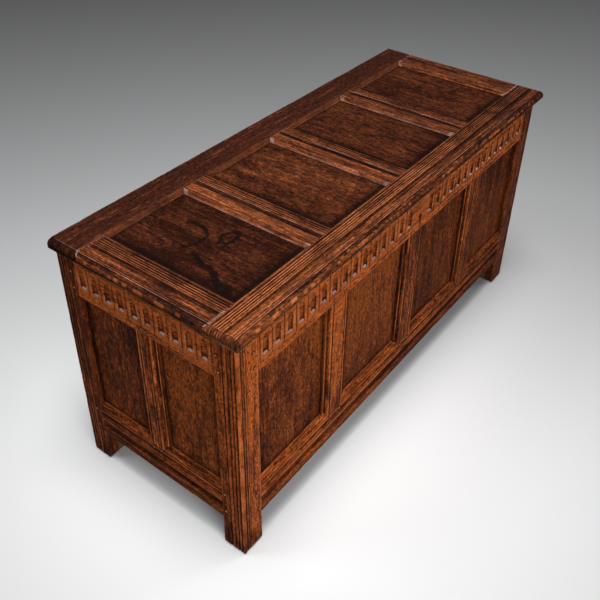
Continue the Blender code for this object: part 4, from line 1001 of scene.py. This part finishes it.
def top_rail_outline(side, height, thickness):
    """A top rail with rows of points close together where the carving turns."""
    runs = (*FRIEZE_ROWS, (PLAIN_ROWS_START, height - 3.0, PLAIN_ROWS_STEP))
    rows = np.concatenate([np.arange(*run) for run in runs])
    face = [*EASED, *((float(u), 0.0) for u in rows), *mirrored(EASED, height)]
    return [(0.0, thickness), *panel_groove(side, 0.0, 1)[::-1], *face, (height, thickness)]


def bottom_rail_outline(side, height, thickness, moulded):
    splay_foot = height - SILL_SPLAY_HEIGHT
    face = [(splay_foot - 1.0, 0.0), (splay_foot, 0.3)]
    if moulded:
        turns = np.radians((-75, -50, -25, 0, 25, 50, 72))
        face = [(27.0, 0.0), (28.0, 0.3)]
        face += [(39.0 + 10.0 * math.sin(a), 4.0 * math.cos(a)) for a in turns]
        face += [(49.6, 0.2), (50.6, 0.0), (54.5, 0.0), *scratch(57.2, 3.2, 2.2), *scratch(61.6, 2.6, 1.6)]
        face += [(64.0, 0.0), (68.0, 0.8), (72.0, 2.2), (75.5, 2.6), (77.5, 0.9), (79.0, 0.0), (83.5, 0.0)]
        face += [(85.0, 0.4), (86.2, 2.1), (87.4, 2.1), (splay_foot, 0.6)]
    face += [(height - 0.8, SILL_SPLAY_DEPTH - 0.6), (height, SILL_SPLAY_DEPTH)]
    return [(0.0, thickness), *EASED, *face, *panel_groove(side, height, -1), (height, thickness)]


def edge_moulding():
    """The run moulding of a muntin's edge: lip, quirk, bead, hollow, ridge and scratched line."""
    lip = [(0.0, 7.4), (0.5, 6.9), (3.4, 6.9), (4.0, 7.4), (4.6, 10.0), (6.6, 10.0), (7.2, 7.4)]
    bead = [(8.2, 6.6), (9.2, 7.2)]
    hollow = [(10.2 + 6.4 * t, 7.8 - 6.6 * t ** 1.7) for t in (0.0, 0.2, 0.4, 0.6, 0.8, 1.0)]
    ridge = [(17.2, 0.3), (18.0, 0.0), (21.4, 0.0)]
    return [*lip, *bead, *hollow, *ridge, *scratch(23.6, 3.0, 2.2), (26.0, 0.0)]


def muntin_outline(side, width, thickness, moulded):
    edge = edge_moulding() if moulded else [(0.0, 4.0), (3.6, 0.3), (4.6, 0.0)]
    face = [*edge, *mirrored(edge, width)]
    return [(0.0, thickness), *panel_groove(side, 0.0, 1)[::-1], *face, *panel_groove(side, width, -1),
            (width, thickness)]


def is_shown(u, d):
    return d < SHOWN_DEPTH


def build_side(side):
    right, inwards = SIDES[side]
    moulded = side != "rear"
    left_edge, right_edge = opening(side)
    length = right_edge - left_edge
    face, back = spread(f"{side}_top_rail", inwards)
    thickness = back - face

    def wood(node, run, level, across, along, outline, stations, **finish):
        place = (corner_at(right, run, inwards, face, level), across, inwards, along)
        outline = refined(outline, is_shown, HIDDEN_STEP)
        return member(node, "carcass", place, outline, stations, FRAME_OAK, **finish)

    node = f"{side}_top_rail"
    low, high = spread(node, Z)
    outline = top_rail_outline(side, high - low, thickness)
    carve, rub, stations = None, None, stations_to(length, PLAIN_STATION)
    if moulded:
        flutes = flute_places(side)
        veins = vein_places(flutes)
        carve = partial(frieze, flutes, veins, seed_of(side))
        rub = partial(rubbed_frieze, flutes, veins)
        stations = frieze_stations(length, flutes, veins)
    top_rail = wood(node, left_edge, low, Z, right, outline, stations, carve=carve, rub=rub)
    if side == "front":
        cut_keyhole(top_rail, flutes, left_edge, face, low)

    node = f"{side}_bottom_rail"
    low, high = spread(node, Z)
    outline = bottom_rail_outline(side, high - low, thickness, moulded)
    rub = partial(rubbed_bottom_rail, high - low)
    wood(node, left_edge, low, Z, right, outline, stations_to(length), rub=rub)

    muntins, panels = (
        sorted(nodes_of(side, kind), key=lambda name: spread(name, right)[0]) for kind in ("muntin", "panel")
    )
    scribe = partial(scribed, HEAD - SILL, SILL_SPLAY_HEIGHT, 0.0, SILL_SPLAY_DEPTH)
    for node in muntins:
        start, end = spread(node, right)
        outline = muntin_outline(side, end - start, thickness, moulded)
        rub = partial(rubbed_side_muntin, end - start) if moulded else None
        wood(node, start, SILL, right, Z, outline, stations_to(HEAD - SILL), trim=scribe, rub=rub)
    for node in panels:
        start, end = np.clip(spread(node, right), left_edge, right_edge)
        near, far = spread(node, inwards)
        low, high = spread(node, Z)
        place = (corner_at(right, start, inwards, near, low), right, inwards, Z)
        panel(node, place, end - start, high - low, far - near, "carcass", GROOVE_DEPTH - 1.0)


def cut_keyhole(rail, flutes, left_edge, face, foot):
    """The keyhole through the front rail, midway in the widest gap of the flutes."""
    middle = max((b - a, (a + b) / 2) for a, b in zip(flutes, flutes[1:]))[1]
    slot = KEYHOLE_SLOT_WIDTH / 2
    turn = math.degrees(math.asin(slot / KEYHOLE_RADIUS))
    bow = arc((0.0, 0.0), KEYHOLE_RADIUS, turn - 90, 270 - turn, 18)
    outline = [*bow, (-slot, -KEYHOLE_SLOT_DROP), (slot, -KEYHOLE_SLOT_DROP)]
    rings = [[(left_edge + middle + x, face + depth, foot + KEYHOLE_RISE + z) for x, z in outline]
             for depth in KEYHOLE_CUT]
    cutter = placed("keyhole_cutter", tubes("keyhole_cutter", [MM * np.array(rings)], inside_out=True))
    modifier = rail.modifiers.new("keyhole", "BOOLEAN")
    modifier.object = cutter
    modifier.solver = "EXACT"
    bpy.context.view_layer.update()
    cut = bpy.data.meshes.new_from_object(rail.evaluated_get(bpy.context.evaluated_depsgraph_get()))
    rail.modifiers.clear()
    rail.data = cut
    bpy.data.objects.remove(cutter)


def stile_outline(width, depth, reeded_front):
    """A corner stile from above: a bead on the arris, then grooves and reeds, on its show faces."""
    front = [(9.7, 0.1), (10.4, 2.8), (13.8, 2.8), (14.5, 0.5), (16.4, 0.2), (18.2, 0.5), (18.7, 2.4),
             (20.6, 2.4), (21.2, 0.1), (24.2, 0.0), (24.9, 1.8), (26.2, 1.8), (26.9, 0.0)]
    end = [(5.3, 0.2), (6.0, 3.0), (9.4, 3.0), (10.2, 0.4), (13.2, 0.1), (14.4, 0.3), (15.2, 3.0),
           (18.2, 3.0), (19.0, 0.3), (22.0, 0.0), (24.6, 0.0), (25.4, 1.6), (27.6, 1.6), (28.4, 0.0),
           (35.8, 0.0), (36.7, 2.8), (39.6, 2.8), (40.5, 0.0)]
    bead = arc((5.0, 5.0), 5.0, 270, 180, 8)
    face = [*mirrored(EASED, width)[::-1], *(front[::-1] if reeded_front else []), *bead]
    return [*face, *((d, u) for u, d in end), (0.0, depth - ARRIS), (ARRIS, depth), (width, depth)]


def foot_trim(width, depth, u, d, v):
    """The foot's lower edges, worn round."""
    t = unit(v / FOOT_EASE)
    inset = FOOT_EASE * (1.0 - np.sqrt(1.0 - (1.0 - t) ** 2))
    return np.clip(u, inset, width - inset), np.clip(d, inset, depth - inset), v


def inside_corner(width, depth, u, d):
    """The two faces of a corner stile that look into the coffer, behind its rails."""
    front, back = spread("front_top_rail", Y)
    rail = back - front
    return ((u > width - BACK_SKIN) & (d > rail)) | ((d > depth - BACK_SKIN) & (u > rail))


def build_stiles():
    foot = np.array((0.0, 0.3, 1.0, 2.0, 3.3, 5.0, 7.0, FOOT_EASE))
    for end, inwards in (("front", Y), ("rear", -Y)):
        for side, across in (("left", X), ("right", -X)):
            node = f"stile_{end}_{side}"
            low, high = box_mm(node)
            width, depth, height = high - low
            corner = np.where((side == "left", end == "front", True), low, high) * (1.0, 1.0, 0.0)
            outline = stile_outline(width, depth, end == "front")
            outline = refined(outline, lambda u, d: min(u, d) < STILE_SKIN, STILE_STEP)
            shaft = np.arange(12.0, height - 3.0, STATION)
            stations = np.concatenate((foot, shaft, (height - SHOULDER, height)))
            member(node, "carcass", (corner * MM, across, inwards, Z), outline, stations, FRAME_OAK, nick=1.1,
                   trim=partial(foot_trim, width, depth), rub=rubbed_stile,
                   dry=partial(inside_corner, width, depth))


def build_pegs():
    """Riven pegs through the tenons, each a little proud of the face."""
    levels = [HEAD + rise for rise in PEGS_ABOVE_HEAD] + [SILL - drop for drop in PEGS_BELOW_SILL]
    for side, (right, inwards) in SIDES.items():
        left_edge, right_edge = opening(side)
        face = spread(f"{side}_top_rail", inwards)[0]
        edges = (left_edge - PEG_STILE_INSET, right_edge + PEG_STILE_INSET)
        spots = [(edge, level) for level in levels for edge in edges]
        for name in nodes_of(side, "muntin"):
            start, end = spread(name, right)
            for edge in (start + MUNTIN_PEG_INSET, end - MUNTIN_PEG_INSET):
                spots += [(edge, HEAD + MUNTIN_PEG_ABOVE), (edge, SILL - MUNTIN_PEG_BELOW)]
        pegs = []
        for i, (run, level) in enumerate(spots):
            seed = seed_of(side) + 31 * i
            run += 2.0 * float(noise(seed * 0.7))
            level += 2.5 * float(noise(seed * 0.9))
            pegs.append(peg(corner_at(right, run, inwards, face, level), right, inwards, seed))
        mesh = tubes(f"{side}_pegs", pegs)
        points = points_of(mesh)
        plain = np.zeros(len(points))
        # Pegs dark round the sides of each head, with a painted highlight on its top
        paint(mesh, points[:, [1, 2, 0]] * 3.0, plain, plain, np.tile(PEG_DARK_RIM_AND_GLINT, len(spots)), plain, 0.0)
        piece(f"{side}_pegs", mesh, [], "carcass", FRAME_OAK)


def peg(place, right, inwards, seed):
    """The rings of points of a peg, from inside the wood out to its head."""
    side = np.arange(PEG_SIDES)[:, None]
    angle = 2 * math.pi * side / PEG_SIDES
    wobble = (1.0 + 0.10 * noise(side * 1.9, seed * 0.13)) * (np.cos(angle) * right + np.sin(angle) * Z)
    return np.array([place + MM * (radius * wobble + depth * inwards) for radius, depth in PEG_RINGS])


for side_name in SIDES:
    build_side(side_name)
build_stiles()
build_pegs()
build_lid()
for node_name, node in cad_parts.items():
    for start, material in (("hinge", IRON), ("lock", IRON), ("lid_staple", IRON), ("bottom_board", BOARD)):
        if node_name.startswith(start):
            node.data.materials.clear()
            node.data.materials.append(material)


# Floor, light and camera

def build_floor():
    """A pale floor with a painted pool of light: brightest before the object and greyer with distance."""
    corners = [(x * FLOOR_SIZE, y * FLOOR_SIZE, 0.0) for x, y in ((-1, -1), (1, -1), (1, 1), (-1, 1))]
    mesh = bpy.data.meshes.new("floor")
    mesh.from_pydata(corners, [], [(0, 1, 2, 3)])
    g = Graph("floor")
    place = g.add("ShaderNodeTexCoord").outputs["Object"]
    spread_squared = 1.0
    for direction, middle, reach in FLOOR_AXES:
        along = g.add("ShaderNodeVectorMath", {0: place, 1: direction}, operation="DOT_PRODUCT")
        away = g.math("DIVIDE", g.math("SUBTRACT", along.outputs["Value"], middle), reach)
        spread_squared = g.times_plus(away, away, spread_squared)
    # The painted pool of light, fading with distance from its middle
    shade = g.times(g.math("POWER", spread_squared, -FLOOR_FALL), FLOOR_PALE)
    seen = g.add("ShaderNodeLightPath").outputs
    direct = g.math("MAXIMUM", seen["Is Camera Ray"], seen["Is Glossy Ray"])
    direct = g.math("MAXIMUM", direct, seen["Is Transmission Ray"])
    g.surface("Base Color", g.times(shade, g.times_plus(direct, 1.0 - FLOOR_BOUNCE, FLOOR_BOUNCE)))
    g.surface("Roughness", 0.9)
    g.surface("Specular IOR Level", 0.1)
    mesh.materials.append(g.material)
    floor = placed("floor", mesh)


def area_lamp(name, towards, size, level, colour):
    """A square lamp at a distance from the object. Its level is the light it sheds on a facing surface."""
    lamp = bpy.data.lights.new(name, "AREA")
    lamp.shape = "SQUARE"
    lamp.size = size
    lamp.energy = level * math.pi ** 2 * LAMP_DISTANCE ** 2
    lamp.color = colour
    obj = placed(name, lamp)
    obj.location = LAMP_TARGET + LAMP_DISTANCE * Vector(towards).normalized()
    obj.rotation_euler = (LAMP_TARGET - obj.location).to_track_quat("-Z", "Y").to_euler()


def build_light():
    world = bpy.data.worlds.new("studio")
    world.use_nodes = True
    background = world.node_tree.nodes["Background"]
    background.inputs["Color"].default_value = WORLD_COLOUR
    background.inputs["Strength"].default_value = WORLD_STRENGTH
    bpy.context.scene.world = world
    for lamp in LAMPS:
        area_lamp(*lamp)


def build_camera():
    camera = bpy.data.cameras.new("camera")
    camera.sensor_width = CAMERA_SENSOR
    camera.lens = CAMERA_LENS
    camera.shift_y = CAMERA_SHIFT
    obj = placed("camera", camera)
    up = CAMERA_RIGHT.cross(CAMERA_FORWARD)
    turn = Matrix((CAMERA_RIGHT, up, -CAMERA_FORWARD)).transposed().to_4x4()
    obj.matrix_world = Matrix.Translation(CAMERA_PLACE) @ turn
    bpy.context.scene.camera = obj


build_floor()
build_light()
build_camera()
bpy.context.scene.view_settings.view_transform = "Standard"
bpy.context.view_layer.update()
